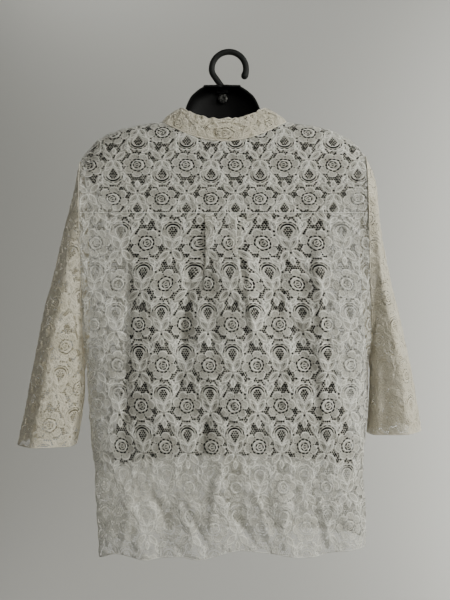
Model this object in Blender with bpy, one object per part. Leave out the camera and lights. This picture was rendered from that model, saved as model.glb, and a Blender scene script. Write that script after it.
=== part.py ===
"""Lace shirt on a hanging half torso form, seen from the back of the shirt.

Metres, +Z up. The origin is the inside top of the form's hook, where it bears on a peg.
The front of the shirt faces -Y and its back faces +Y; the wearer's left is +X.
"down" is a distance below the origin, so that z = -down.
"""

import math

import bmesh
import bpy
import numpy as np

# Cloth, and the gaps left between pieces that are sewn or rest together
CLOTH = 0.0011
COLLAR_CLOTH = 0.0020
SEAM_GAP = 0.0003
FRONT_SEAM_GAP = 0.0008
ARMHOLE_GAP = CLOTH / 2 + 0.0005
ARMHOLE_EASE = 0.0016
REST_GAP = 0.0026

# Centre line of the shirt and the form, which hang with a slight lean
CENTRE_TOP = 0.0125
LEAN = 0.029
SHOULDER_CENTRE = 0.0077

# Shoulders: the ridge that the cloth rests on, and how it rounds over
RIDGE_Y = 0.033
SHOULDER_ROUND = 0.046
FRONT_SEAM_OUT = (0.080, 0.209)
FRONT_SEAM_DOWN = (0.1515, 0.211)
YOKE_SEAM_DOWN = 0.243

# Body: the plane of the side seams and how square each side of its section is
SIDE_Y = 0.008
BACK_SQUARE = 3.6
FRONT_SQUARE = 2.3
BACK_DEPTH = 0.047
FRONT_DEPTH = 0.116
HALF_WIDTH = 0.207

# Armholes: a long oval from the shoulder end to the underarm
UNDERARM_DOWN = {1: 0.462, -1: 0.452}
ARMHOLE_BACK = 0.036
ARMHOLE_FRONT = 0.055
ARMHOLE_ROUND = 0.85

# Neck seam and collar
NECK_HALF = 0.0906
NECK_SIDE_DOWN = 0.108
NECK_BACK_DIP = 0.030
NECK_FRONT_DROP = 0.080
NECK_FRONT_SQUARE = 2.2
COLLAR_TOP_CENTRE = 0.0095
COLLAR_TOP_HALF = 0.0640
COLLAR_TOP_BACK = 0.043
COLLAR_TOP_FRONT = 0.047
COLLAR_TOP_DOWN = {"back": 0.1055, "side": 0.083, "front": 0.152}
COLLAR_RIPPLES = 20
COLLAR_RIPPLE = 0.0007
COLLAR_OPENING = 0.035

# Front closing and buttons
OVERLAP = 0.013
OVERLAP_RAISE = 0.0024
FRONT_HEM_DOWN = 0.735
BUTTON_RADIUS = 0.0055
BUTTON_THICK = 0.0024
BUTTON_COUNT = 7
BUTTON_FIRST_DOWN = 0.208
BUTTON_STEP = 0.074
BUTTON_SIDES = 14

# Centre-back box pleat
PLEAT_OFFSET = 0.0075

# Torso form: the neck's front wall and rim, and the shell's own shape
SHELL = 0.0025
FORM_RIM_Y = 0.034
NECK_RIM_Y = 0.021
FORM_SQUARE = 2.4
FORM_SPREAD = 1.014

# Hook, its plate and its screw
HOOK_TUBE = 0.0087
HOOK_RING = 0.0258
HOOK_CENTRE_X = 0.0009
HOOK_END_ANGLE = -24
HOOK_CORNER = (0.0270, 0.0240)
HOOK_FOOT = (0.0094, 0.0510)
HOOK_TIP_SWELL = 1.2
PLATE_X = 0.0100
PLATE_WIDTH = 0.0120
PLATE_THICK = 0.0040
PLATE_TOP_DOWN = 0.0505
PLATE_BOTTOM_DOWN = 0.0760
PLATE_BEVEL = 0.0012
SCREW_DOWN = 0.0665
SCREW_RADIUS = 0.0068
SCREW_HEAD = 0.0026
SLOT_X = 0.0180
SLOT_SHIFT = 0.0005
SLOT_Y = 0.0120
SLOT_DEEP = 0.0120


def table(columns, *rows):
    """A short table whose rows are read by the names of its columns."""
    return {name: np.array([row[i] for row in rows]) for i, name in enumerate(columns.split())}


# The shirt's two sides as seen from the back
SIDES = table(
    "down left right",
    (0.155, 0.2170, -0.1970),
    (0.311, 0.2140, -0.2000),
    (0.434, 0.2120, -0.2055),
    (0.511, 0.2090, -0.2045),
    (0.587, 0.2030, -0.1990),
    (0.623, 0.1990, -0.1970),
    (0.677, 0.1970, -0.2015),
    (0.751, 0.1930, -0.2010),
)

# Top line of the shoulders by distance from their centre
RIDGE = table(
    "out down",
    (0.000, 0.1045),
    (0.070, 0.1055),
    (0.090, 0.1080),
    (0.135, 0.1145),
    (0.170, 0.1260),
    (0.190, 0.1385),
    (0.203, 0.1540),
    (0.210, 0.1660),
)

# How far the back and the front stand out
DEPTHS = table(
    "down back front",
    (0.100, 0.047, 0.005),
    (0.140, 0.050, -0.030),
    (0.200, 0.054, -0.068),
    (0.260, 0.056, -0.098),
    (0.330, 0.057, -0.113),
    (0.450, 0.057, -0.109),
    (0.620, 0.057, -0.105),
    (0.750, 0.053, -0.103),
)

# Back hem, from the right side (-1) to the left side (1)
HEM = table(
    "across down",
    (-1.00, 0.725),
    (-0.90, 0.729),
    (-0.68, 0.732),
    (-0.51, 0.739),
    (-0.25, 0.733),
    (-0.06, 0.729),
    (0.20, 0.741),
    (0.31, 0.738),
    (0.55, 0.742),
    (0.75, 0.736),
    (0.92, 0.745),
    (1.00, 0.736),
)

# One half of the box pleat, from its middle outwards: where each line of the cloth lies when
# folded, how high it lies as a share of the pleat's lift, and where it lies once let go
PLEAT = table(
    "folded lift free",
    (0.0000, 1.00, 0.000),
    (0.0110, 1.00, 0.012),
    (0.0205, 1.00, 0.022),
    (0.0225, 0.88, 0.027),
    (0.0210, 0.62, 0.031),
    (0.0155, 0.52, 0.035),
    (0.0110, 0.42, 0.039),
    (0.0095, 0.22, 0.043),
    (0.0115, 0.02, 0.047),
    (0.0200, 0.00, 0.052),
    (0.0330, 0.00, 0.059),
)

# The pleat down the back: its lift, and how far it has been let go
PLEAT_DROP = table(
    "below lift free",
    (0.000, 0.0046, 0.00),
    (0.030, 0.0056, 0.06),
    (0.080, 0.0080, 0.45),
    (0.150, 0.0065, 1.00),
    (0.250, 0.0050, 1.00),
    (0.500, 0.0030, 1.00),
)

# Soft folds: a line from a top to a low end, its height outwards and its half-width
BACK_FOLDS = table(
    "top_x top_down low_x low_down height width",
    (0.033, 0.300, 0.024, 0.460, -0.0045, 0.012),
    (-0.026, 0.300, -0.042, 0.440, 0.0050, 0.013),
    (-0.072, 0.290, -0.066, 0.520, -0.0030, 0.014),
    (-0.110, 0.300, -0.094, 0.420, -0.0050, 0.013),
    (-0.094, 0.410, -0.119, 0.500, -0.0045, 0.013),
    (0.067, 0.390, 0.076, 0.500, -0.0045, 0.013),
    (0.112, 0.300, 0.104, 0.560, 0.0030, 0.016),
    (0.038, 0.520, 0.043, 0.600, -0.0035, 0.010),
    (0.162, 0.330, 0.150, 0.620, -0.0035, 0.016),
    (-0.160, 0.340, -0.150, 0.640, 0.0035, 0.016),
    (0.150, 0.640, 0.118, 0.760, 0.0060, 0.014),
    (0.090, 0.660, 0.104, 0.760, -0.0050, 0.013),
    (0.060, 0.650, 0.045, 0.760, 0.0050, 0.013),
    (-0.010, 0.640, -0.022, 0.760, -0.0045, 0.015),
    (-0.070, 0.640, -0.092, 0.760, 0.0060, 0.015),
    (-0.128, 0.650, -0.140, 0.760, -0.0055, 0.014),
    (-0.178, 0.640, -0.170, 0.760, 0.0050, 0.012),
)

FRONT_FOLDS = table(
    "top_x top_down low_x low_down height width",
    (0.100, 0.350, 0.086, 0.700, 0.0050, 0.016),
    (0.058, 0.400, 0.064, 0.760, -0.0045, 0.014),
    (0.140, 0.380, 0.132, 0.760, -0.0050, 0.015),
    (-0.062, 0.370, -0.058, 0.760, 0.0045, 0.014),
    (-0.104, 0.350, -0.092, 0.740, -0.0050, 0.016),
    (-0.142, 0.400, -0.134, 0.760, 0.0050, 0.014),
    (0.034, 0.600, 0.040, 0.760, 0.0040, 0.011),
    (-0.172, 0.420, -0.166, 0.760, -0.0040, 0.012),
)

# Each sleeve from the armhole to the cuff: the outer and inner lines as seen from the back
SLEEVES = {
    1: table(
        "step outer_x outer_down inner_x inner_down back front mid_y",
        (0, 0.2170, 0.166, 0.2114, 0.462, 0.036, 0.055, 0.0205),
        (1, 0.2260, 0.205, 0.2150, 0.467, 0.037, 0.054, 0.0190),
        (2, 0.2400, 0.257, 0.2165, 0.471, 0.038, 0.052, 0.0170),
        (3, 0.2580, 0.328, 0.2175, 0.477, 0.040, 0.050, 0.0140),
        (4, 0.2755, 0.392, 0.2175, 0.487, 0.043, 0.048, 0.0100),
        (5, 0.2920, 0.470, 0.2175, 0.505, 0.045, 0.047, 0.0050),
        (6, 0.3040, 0.528, 0.2225, 0.545, 0.046, 0.046, 0.0010),
        (7, 0.3160, 0.581, 0.2300, 0.583, 0.046, 0.046, -0.0020),
    ),
    -1: table(
        "step outer_x outer_down inner_x inner_down back front mid_y",
        (0, -0.1970, 0.158, -0.2054, 0.452, 0.036, 0.055, 0.0205),
        (1, -0.2120, 0.195, -0.2090, 0.457, 0.037, 0.054, 0.0190),
        (2, -0.2195, 0.255, -0.2100, 0.461, 0.038, 0.052, 0.0170),
        (3, -0.2360, 0.337, -0.2110, 0.467, 0.040, 0.050, 0.0140),
        (4, -0.2520, 0.397, -0.2110, 0.477, 0.043, 0.048, 0.0100),
        (5, -0.2680, 0.465, -0.2110, 0.495, 0.045, 0.047, 0.0050),
        (6, -0.2785, 0.518, -0.2095, 0.530, 0.046, 0.046, 0.0010),
        (7, -0.2860, 0.560, -0.2070, 0.566, 0.046, 0.046, -0.0020),
    ),
}

# Sleeve folds run along the arm: around is in degrees from the outer line, back first
SLEEVE_FOLDS = table(
    "around first last height width",
    (75, 1.5, 7.5, 0.0060, 16),
    (38, 1.0, 6.0, -0.0045, 14),
    (118, 3.0, 7.5, -0.0050, 15),
    (-60, 1.5, 7.5, 0.0050, 16),
    (-105, 2.5, 7.5, -0.0045, 15),
    (150, 4.0, 7.5, 0.0030, 12),
)

# The form's own outline from the back, and how far its front stands out
FORM = table(
    "down half front",
    (0.0525, 0.0270, -0.0073),
    (0.0550, 0.0318, -0.0073),
    (0.0600, 0.0385, -0.0073),
    (0.0665, 0.0457, -0.0073),
    (0.0735, 0.0500, -0.0073),
    (0.0810, 0.0534, -0.0073),
    (0.0900, 0.0562, -0.0073),
    (0.0990, 0.0590, -0.0078),
    (0.1045, 0.0640, -0.0090),
    (0.1105, 0.0740, -0.0100),
)
FORM_SHOULDER_OUTS = (0.100, 0.116, 0.132, 0.148, 0.163, 0.176, 0.187, 0.195, 0.2005)
FORM_BODY = table(
    "down half front",
    (0.172, 0.2010, -0.050),
    (0.184, 0.2000, -0.058),
    (0.205, 0.1860, -0.070),
    (0.224, 0.1690, -0.081),
    (0.245, 0.1540, -0.090),
    (0.275, 0.1480, -0.101),
    (0.310, 0.1460, -0.109),
    (0.345, 0.1440, -0.111),
    (0.385, 0.1430, -0.100),
    (0.425, 0.1460, -0.085),
    (0.470, 0.1530, -0.080),
    (0.515, 0.1630, -0.084),
    (0.560, 0.1700, -0.088),
    (0.600, 0.1745, -0.091),
    (0.6165, 0.1750, -0.092),
)


def follow(rows, column, at):
    """Reads a column at any place along the first one, on a smooth curve through the rows."""
    keys = next(iter(rows.values()))
    values = rows[column]
    steps = np.diff(values) / np.diff(keys)
    inner = np.where(
        steps[:-1] * steps[1:] > 0,
        2 * steps[:-1] * steps[1:] / np.where(steps[:-1] + steps[1:] == 0, 1, steps[:-1] + steps[1:]),
        0,
    )
    slopes = np.concatenate([steps[:1], inner, steps[-1:]])
    at = np.clip(np.asarray(at, float), keys[0], keys[-1])
    k = np.clip(np.searchsorted(keys, at, side="right") - 1, 0, len(keys) - 2)
    width = keys[k + 1] - keys[k]
    t = (at - keys[k]) / width
    rise = t * t * (3 - 2 * t)
    start = t * (1 - t) ** 2 * width * slopes[k]
    end = t * t * (t - 1) * width * slopes[k + 1]
    return values[k] * (1 - rise) + values[k + 1] * rise + start + end


def ease(low, high, at):
    """0 below low, 1 above high, and a smooth step between."""
    t = np.clip((np.asarray(at, float) - low) / (high - low), 0, 1)
    return t * t * (3 - 2 * t)


def power(value, exponent):
    return np.sign(value) * np.abs(value) ** exponent


def centre_x(down):
    return CENTRE_TOP - LEAN * np.asarray(down, float)


def edge_x(side, down):
    return follow(SIDES, "left" if side > 0 else "right", down)


def across(x, down):
    """Share of the way from the centre line to the side, with the side it is on."""
    offset = np.asarray(x, float) - centre_x(down)
    reach = np.where(offset > 0, edge_x(1, down), edge_x(-1, down)) - centre_x(down)
    return np.clip(offset / reach, 0, 1), np.where(offset > 0, 1, -1)


def ridge_down(x):
    return follow(RIDGE, "down", np.abs(np.asarray(x, float) - SHOULDER_CENTRE))


def armhole_y(side, down, face):
    """The armhole's edge on the back (1) or front (-1), and the side seam below it."""
    top = np.where(side > 0, SLEEVES[1]["outer_down"][0], SLEEVES[-1]["outer_down"][0])
    bottom = np.where(side > 0, UNDERARM_DOWN[1], UNDERARM_DOWN[-1])
    share = np.clip((bottom - down) / (bottom - top), 0, 1)
    chord = SIDE_Y + (RIDGE_Y - SIDE_Y) * share
    along = np.abs(2 * share - 1) ** (1 / ARMHOLE_ROUND)
    bulge = np.clip(1 - along * along, 0, 1) ** (ARMHOLE_ROUND / 2)
    return chord + (ARMHOLE_BACK if face > 0 else -ARMHOLE_FRONT) * bulge


def body_y(x, down, face):
    """The cloth's middle surface on the back (1) or the front (-1)."""
    square = BACK_SQUARE if face > 0 else FRONT_SQUARE
    out, side = across(x, down)
    flatness = (1 - out**square) ** (1 / square)
    fall = np.clip((down - ridge_down(x)) / SHOULDER_ROUND, 0, 1)
    turned = np.sqrt(1 - (1 - fall) ** 2)
    wall = follow(DEPTHS, "back" if face > 0 else "front", down)
    middle = RIDGE_Y + (wall - RIDGE_Y) * turned
    return middle * flatness + armhole_y(side, down, face) * (1 - flatness)


def fold_height(folds, x, down):
    """Height outwards of all the soft folds, which fade at their ends and at the sides."""
    total = np.zeros(np.broadcast(x, down).shape)
    for k in range(len(folds["height"])):
        length = folds["low_down"][k] - folds["top_down"][k]
        share = (down - folds["top_down"][k]) / length
        line = folds["top_x"][k] + (folds["low_x"][k] - folds["top_x"][k]) * share
        fade = ease(-0.25, 0.25, share) * (1 - ease(0.8, 1.25, share))
        total = total + folds["height"][k] * fade * np.exp(-(((x - line) / folds["width"][k]) ** 2))
    out, _ = across(x, down)
    return total * (1 - out**6)


def body_point(x, down, face, lift=0.0):
    folds = BACK_FOLDS if face > 0 else FRONT_FOLDS
    y = body_y(x, down, face) + face * (fold_height(folds, x, down) + lift)
    x, y, z = np.broadcast_arrays(x, y, -np.asarray(down, float))
    return np.stack([x, y, z], axis=-1)


def even_columns(square, depth, first, count):
    """Places across, evenly spaced along the section's curve from first to the side seam."""
    turn = np.linspace(0, math.pi / 2, 400)
    out = np.sin(turn) ** (2 / square)
    deep = np.cos(turn) ** (2 / square)
    length = np.concatenate([[0], np.cumsum(np.hypot(np.diff(out) * HALF_WIDTH, np.diff(deep) * depth))])
    start = np.interp(first, out, length)
    return np.interp(np.linspace(start, length[-1], count), length, out)


def material(name, colour, roughness, metallic=0.0):
    made = bpy.data.materials.new(name)
    made.use_nodes = True
    shader = made.node_tree.nodes["Principled BSDF"]
    shader.inputs["Base Color"].default_value = (*colour, 1)
    shader.inputs["Roughness"].default_value = roughness
    shader.inputs["Metallic"].default_value = metallic
    return made


def add_object(name, mesh, finish):
    mesh.materials.append(finish)
    mesh.shade_smooth()
    mesh.set_sharp_from_angle(angle=math.radians(50))
    made = bpy.data.objects.new(name, mesh)
    bpy.context.scene.collection.objects.link(made)
    return made


def grid_mesh(name, points, closed=False):
    """Quads through a grid of points, rows by columns, whose columns may close into a ring."""
    rows, columns, _ = points.shape
    faces = []
    for r in range(rows - 1):
        for c in range(columns if closed else columns - 1):
            d = (c + 1) % columns
            faces.append((r * columns + c, r * columns + d, (r + 1) * columns + d, (r + 1) * columns + c))
    mesh = bpy.data.meshes.new(name)
    mesh.from_pydata([tuple(p) for p in points.reshape(-1, 3)], [], faces)
    mesh.update()
    return mesh


def wall(name, points, thickness, finish, closed=False, offset=0.0):
    """A sheet of cloth or plastic: the grid of points, given its thickness."""
    made = add_object(name, grid_mesh(name, points, closed), finish)
    solid = made.modifiers.new("thickness", "SOLIDIFY")
    solid.thickness = thickness
    solid.offset = offset
    return made


def neck_back(turn):
    """The neck seam behind the ridge, by angle from the centre back in radians."""
    x = SHOULDER_CENTRE + NECK_HALF * np.sin(turn)
    down = NECK_SIDE_DOWN + NECK_BACK_DIP * (1 - np.sin(turn) ** 2)
    return x, down


def neck_front(turn):
    """The neck seam before the ridge, by angle from the side of the neck in radians."""
    exponent = 2 / NECK_FRONT_SQUARE
    x = SHOULDER_CENTRE + NECK_HALF * power(np.cos(turn), exponent)
    down = NECK_SIDE_DOWN + NECK_FRONT_DROP * np.abs(np.sin(turn)) ** exponent
    return x, down


def drop_turn(drop):
    """Turns a drop below the ridge into a place around the shoulder's curve."""
    share = drop / SHOULDER_ROUND
    return np.where(share < 1, np.arccos(np.clip(1 - share, 0, 1)), math.pi / 2 + share - 1)


def turn_drop(turn):
    curved = 1 - np.cos(np.clip(turn, 0, math.pi / 2))
    return SHOULDER_ROUND * np.where(turn < math.pi / 2, curved, 1 + turn - math.pi / 2)


def shoulder_point(x, turn):
    """A point over the shoulder: behind the ridge where turn is positive, else before it."""
    down = ridge_down(x) + turn_drop(np.abs(turn))
    behind = body_point(x, down, 1)
    before = body_point(x, down, -1)
    return np.where((turn >= 0)[..., None], behind, before)


def front_seam(x):
    """The front yoke seam: a straight line from the neck down to the armhole."""
    out = np.abs(np.asarray(x, float) - SHOULDER_CENTRE)
    share = (out - FRONT_SEAM_OUT[0]) / (FRONT_SEAM_OUT[1] - FRONT_SEAM_OUT[0])
    return FRONT_SEAM_DOWN[0] + (FRONT_SEAM_DOWN[1] - FRONT_SEAM_DOWN[0]) * share


def front_corner():
    """Angle on the front neck curve where the front yoke seam meets it."""
    turns = np.linspace(0, math.pi / 2, 400)
    x, down = neck_front(turns)
    return float(np.interp(0, down - front_seam(x), turns))


def yoke_lines(side):
    """Neck ends and outer ends of the yoke's lines on one side, from the front to the back."""
    edge = float(edge_x(side, 0.16))
    seam = YOKE_SEAM_DOWN - SEAM_GAP / 2
    front_steps = np.linspace(1, 0, 4)
    back_steps = np.linspace(0, 1, 13)[1:]
    near_x, near_down = neck_front(front_steps * front_corner())
    near_x = SHOULDER_CENTRE + side * (near_x - SHOULDER_CENTRE)
    inner = [(x, -float(drop_turn(d - ridge_down(x)))) for x, d in zip(near_x, near_down)]
    front_turn = -float(drop_turn(front_seam(edge) - ridge_down(edge)))
    outer = [(edge, front_turn * share) for share in front_steps]
    arm_count = 5
    corner = float(drop_turn(seam - ridge_down(edge)))
    for k, share in enumerate(back_steps):
        x, down = neck_back((1 - share) * math.pi / 2)
        x = SHOULDER_CENTRE + side * (x - SHOULDER_CENTRE)
        inner.append((float(x), float(drop_turn(down - ridge_down(x)))))
        if k < arm_count:
            outer.append((edge, corner * (k + 1) / arm_count))
        else:
            along = (k + 1 - arm_count) / (len(back_steps) - arm_count)
            far_x = edge + (SHOULDER_CENTRE - edge) * along
            outer.append((far_x, float(drop_turn(seam - ridge_down(far_x)))))
    return inner, outer


def build_yoke(finish):
    left_inner, left_outer = yoke_lines(1)
    right_inner, right_outer = yoke_lines(-1)
    inner = np.array(left_inner + right_inner[::-1][1:])
    outer = np.array(left_outer + right_outer[::-1][1:])
    reach = np.linspace(0, 1, 8)[:, None, None]
    plan = inner + (outer - inner) * reach
    for column in (0, -1):
        x = plan[:, column, 0]
        plan[:, column, 1] = -drop_turn(front_seam(x) - ridge_down(x))
    for k, turn in enumerate(plan[-1, :, 1]):
        side = 1 if k < len(inner) / 2 else -1
        down = ridge_down(plan[-1, k, 0]) + turn_drop(abs(turn))
        if abs(plan[-1, k, 0] - edge_x(side, 0.16)) < 0.001:
            plan[-1, k, 0] = edge_x(side, down)
            drop = np.maximum(down - ridge_down(plan[-1, k, 0]), 0)
            plan[-1, k, 1] = math.copysign(float(drop_turn(drop)), turn)
    return wall("yoke", shoulder_point(plan[..., 0], plan[..., 1]), CLOTH, finish)


def pleat_columns(below):
    """Offset and lift of every line of the box pleat, right to left, at one height."""
    free = follow(PLEAT_DROP, "free", below)
    offset = PLEAT["folded"] * (1 - free) + PLEAT["free"] * free
    lift = PLEAT["lift"] * follow(PLEAT_DROP, "lift", below)
    return np.concatenate([-offset[:0:-1], offset]), np.concatenate([lift[:0:-1], lift])


def build_back(finish):
    steps = np.concatenate([np.linspace(0, 0.30, 9), np.linspace(0.35, 1, 13)])
    right = even_columns(BACK_SQUARE, BACK_DEPTH, 0.36, 10)[::-1]
    left = even_columns(BACK_SQUARE, BACK_DEPTH, 0.42, 10)
    top = YOKE_SEAM_DOWN + SEAM_GAP / 2
    hem = float(HEM["down"].mean())
    rows = []
    for step in steps:
        level = top + (hem - top) * step
        offsets, lifts = pleat_columns(level - top)
        middle = centre_x(level)
        x = np.concatenate([
            middle + right * (edge_x(-1, level) - middle),
            middle + PLEAT_OFFSET + offsets,
            middle + left * (edge_x(1, level) - middle),
        ])
        share, side = across(x, np.full(x.shape, level))
        down = top + (follow(HEM, "down", share * side) - top) * step
        middle = centre_x(down)
        x = x + middle - centre_x(level)
        x[0] = edge_x(-1, down[0])
        x[-1] = edge_x(1, down[-1])
        lift = np.concatenate([np.zeros(len(right)), lifts, np.zeros(len(left))])
        points = body_point(x, down, 1, lift)
        points[[0, -1], 1] += SEAM_GAP / 2
        rows.append(points)
    return wall("back", np.array(rows), CLOTH, finish)


def front_top(x):
    """Top edge of a front: the front yoke seam, and the neck seam inside it."""
    out = np.abs(x - SHOULDER_CENTRE) / NECK_HALF
    neck = NECK_SIDE_DOWN + NECK_FRONT_DROP * np.clip(1 - out**NECK_FRONT_SQUARE, 0, 1) ** (
        1 / NECK_FRONT_SQUARE
    )
    inside = np.abs(x - SHOULDER_CENTRE) < FRONT_SEAM_OUT[0]
    return np.where(inside, np.maximum(neck, front_seam(x)), front_seam(x)) + FRONT_SEAM_GAP


def build_front(name, side, finish):
    outward = even_columns(FRONT_SQUARE, FRONT_DEPTH, 0.10, 12)[::-1]
    shares = np.concatenate([outward, [0.0]])
    steps = np.linspace(0, 1, 19)
    rows = []
    hem_side = float(HEM["down"][-1 if side > 0 else 0])
    for step in steps:
        level = FRONT_SEAM_DOWN[0] + (FRONT_HEM_DOWN - FRONT_SEAM_DOWN[0]) * step
        for _ in range(3):
            middle = centre_x(level)
            x = middle + shares * (edge_x(side, level) - middle)
            x[-1] = float(np.mean(middle)) - side * OVERLAP
            hem = FRONT_HEM_DOWN + (hem_side - FRONT_HEM_DOWN) * shares**2
            top = front_top(x)
            level = top + (hem - top) * step
        near = np.abs(x - centre_x(level))
        raised = OVERLAP_RAISE * (1 - ease(0.020, 0.045, near)) if side < 0 else 0.0
        points = body_point(x, level, -1, raised)
        points[0, 1] -= SEAM_GAP / 2
        rows.append(points)
    return wall(name, np.array(rows), CLOTH, finish)


def sleeve_point(side, step, turn):
    """A point of a sleeve by its step from the armhole and its angle from the outer line."""
    rows = SLEEVES[side]
    read = {name: follow(rows, name, step) for name in rows}
    along = power(np.cos(turn), ARMHOLE_ROUND)
    bulge = power(np.sin(turn), ARMHOLE_ROUND)
    half_x = (read["outer_x"] - read["inner_x"]) / 2
    half_down = (read["outer_down"] - read["inner_down"]) / 2
    x = (read["outer_x"] + read["inner_x"]) / 2 + half_x * along
    down = (read["outer_down"] + read["inner_down"]) / 2 + half_down * along
    seam = 1 - ease(0, 2, step)
    edge = edge_x(side, down) + side * (ARMHOLE_GAP + ARMHOLE_EASE * (1 - along) / 2)
    straight = rows["inner_x"][0] + (rows["outer_x"][0] - rows["inner_x"][0]) * (1 + along) / 2
    x = x + (edge - straight) * seam
    tilt = (RIDGE_Y - SIDE_Y) / 2 * (1 - ease(0, 6, step))
    fullness = np.zeros(np.shape(turn))
    degrees = np.degrees(np.arctan2(np.sin(turn), np.cos(turn)))
    for k in range(len(SLEEVE_FOLDS["height"])):
        away = (degrees - SLEEVE_FOLDS["around"][k] + 180) % 360 - 180
        fade = ease(SLEEVE_FOLDS["first"][k] - 1, SLEEVE_FOLDS["first"][k] + 1.5, step)
        fade = fade * (1 - ease(SLEEVE_FOLDS["last"][k] - 0.5, SLEEVE_FOLDS["last"][k] + 1, step))
        fullness = fullness + SLEEVE_FOLDS["height"][k] * fade * np.exp(-((away / SLEEVE_FOLDS["width"][k]) ** 2))
    depth = np.where(bulge > 0, read["back"], read["front"])
    y = read["mid_y"] + tilt * along + bulge * (depth + fullness)
    return np.stack(np.broadcast_arrays(x, y, -down), axis=-1)


def build_sleeve(name, side, finish):
    turns = np.linspace(0, 2 * math.pi, 22, endpoint=False)
    steps = np.concatenate([np.linspace(0, 4.5, 9), np.linspace(5, 7, 6)])
    points = np.array([sleeve_point(side, np.full(turns.shape, step), turns) for step in steps])
    if side < 0:
        points = points[:, ::-1]
    return wall(name, points, CLOTH, finish, closed=True)


def collar_bottom(turn):
    """The collar's lower edge by angle from the centre back, from -pi to pi."""
    away = abs(turn)
    side = 1 if turn >= 0 else -1
    if away <= math.pi / 2:
        x, down = neck_back(away)
        face = 1
    else:
        x, down = neck_front(away - math.pi / 2)
        face = -1
    x = SHOULDER_CENTRE + side * (float(x) - SHOULDER_CENTRE)
    return body_point(np.array(x), np.array(down), face)


def collar_top(turn):
    away = abs(turn)
    out = math.sin(away)
    if away <= math.pi / 2:
        exponent, depth, low = 2 / 3, COLLAR_TOP_BACK, COLLAR_TOP_DOWN["back"]
    else:
        exponent, depth, low = 2 / 2.2, COLLAR_TOP_FRONT, COLLAR_TOP_DOWN["front"]
    x = COLLAR_TOP_CENTRE + math.copysign(COLLAR_TOP_HALF, turn) * out**exponent
    y = math.copysign(depth, math.cos(turn)) * abs(math.cos(turn)) ** exponent
    down = low + (COLLAR_TOP_DOWN["side"] - low) * out**1.6
    return np.array([x, y, -down])


def build_collar(finish):
    turns = np.linspace(-math.pi + COLLAR_OPENING, math.pi - COLLAR_OPENING, 4 * COLLAR_RIPPLES + 1)
    rises = np.array([0.0, 0.33, 0.67, 1.0])
    rows = []
    for rise in rises:
        row = []
        for turn in turns:
            low, high = collar_bottom(turn), collar_top(turn)
            lift = 0.0008 + 0.0012 * abs(math.sin(turn))
            low = low + (high - low) / np.linalg.norm(high - low) * lift
            point = low + (high - low) * rise
            outward = np.array([math.sin(turn), math.cos(turn), 0.35])
            bow = 0.0022 * math.sin(math.pi * rise)
            ripple = COLLAR_RIPPLE * math.cos(turn * COLLAR_RIPPLES)
            row.append(point + outward * (bow + ripple * (0.3 + 0.7 * rise)))
        rows.append(row)
    return wall("collar", np.array(rows), COLLAR_CLOTH, finish)


def turned_mesh(name, profile, sides):
    """A closed round solid about its own Z from pairs of radius and height, bottom to top."""
    made = bmesh.new()
    rings = []
    for radius, height in profile:
        if radius == 0:
            rings.append([made.verts.new((0, 0, height))])
            continue
        angles = [2 * math.pi * k / sides for k in range(sides)]
        rings.append([made.verts.new((radius * math.cos(a), radius * math.sin(a), height)) for a in angles])
    for low, high in zip(rings, rings[1:]):
        for k in range(sides):
            n = (k + 1) % sides
            if len(low) == 1:
                made.faces.new((low[0], high[n], high[k]))
            elif len(high) == 1:
                made.faces.new((low[k], low[n], high[0]))
            else:
                made.faces.new((low[k], low[n], high[n], high[k]))
    mesh = bpy.data.meshes.new(name)
    made.to_mesh(mesh)
    made.free()
    return mesh


def front_frame(down):
    """The centre front's outer point and its slope as seen from the side."""
    x = centre_x(down)
    here = body_point(x, np.array(down), -1, OVERLAP_RAISE)
    below = body_point(x, np.array(down + 0.004), -1, OVERLAP_RAISE)
    above = body_point(x, np.array(down - 0.004), -1, OVERLAP_RAISE)
    slope = math.atan2(above[1] - below[1], above[2] - below[2])
    return here, slope


def build_buttons(finish):
    r, t = BUTTON_RADIUS, BUTTON_THICK
    profile = [(0, 0), (r * 0.85, 0), (r, t * 0.4), (r * 0.94, t), (r * 0.70, t * 0.9), (r * 0.55, t * 0.6), (0, t * 0.6)]
    for k in range(BUTTON_COUNT):
        down = BUTTON_FIRST_DOWN + BUTTON_STEP * k
        here, slope = front_frame(down)
        made = add_object(f"button_{k + 1}", turned_mesh("button", profile, BUTTON_SIDES), finish)
        outward = np.array([0, -math.cos(slope), math.sin(slope)])
        seat = here + outward * (CLOTH / 2 + SEAM_GAP * 1.4)
        made.location = seat.tolist()
        made.rotation_euler = (math.pi / 2 - slope, 0, 0)


def form_front_y(x, down, front):
    """The form's own front, held inside the cloth that rests on it."""
    cloth_x = SHOULDER_CENTRE + (x - SHOULDER_CENTRE) * FORM_SPREAD
    inside = body_y(cloth_x, down - REST_GAP, -1) + REST_GAP
    covered = down - REST_GAP > ridge_down(cloth_x)
    return np.where(covered & (down > 0.105), np.maximum(front, inside), front)


def form_section(down, half, front, columns):
    rim = NECK_RIM_Y + (FORM_RIM_Y - NECK_RIM_Y) * float(ease(0.085, 0.104, down))
    turn = np.linspace(-math.pi / 2, math.pi / 2, columns)
    out = power(np.sin(turn), 2 / FORM_SQUARE)
    deep = np.abs(np.cos(turn)) ** (2 / FORM_SQUARE)
    middle = centre_x(down) if down < 0.1 or down > 0.2 else SHOULDER_CENTRE
    x = middle + half * out
    y = rim - (rim - front) * deep
    y = np.minimum(form_front_y(x, np.full(x.shape, down), y), rim)
    return np.stack([x, y, np.full(x.shape, -down)], axis=-1)


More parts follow.
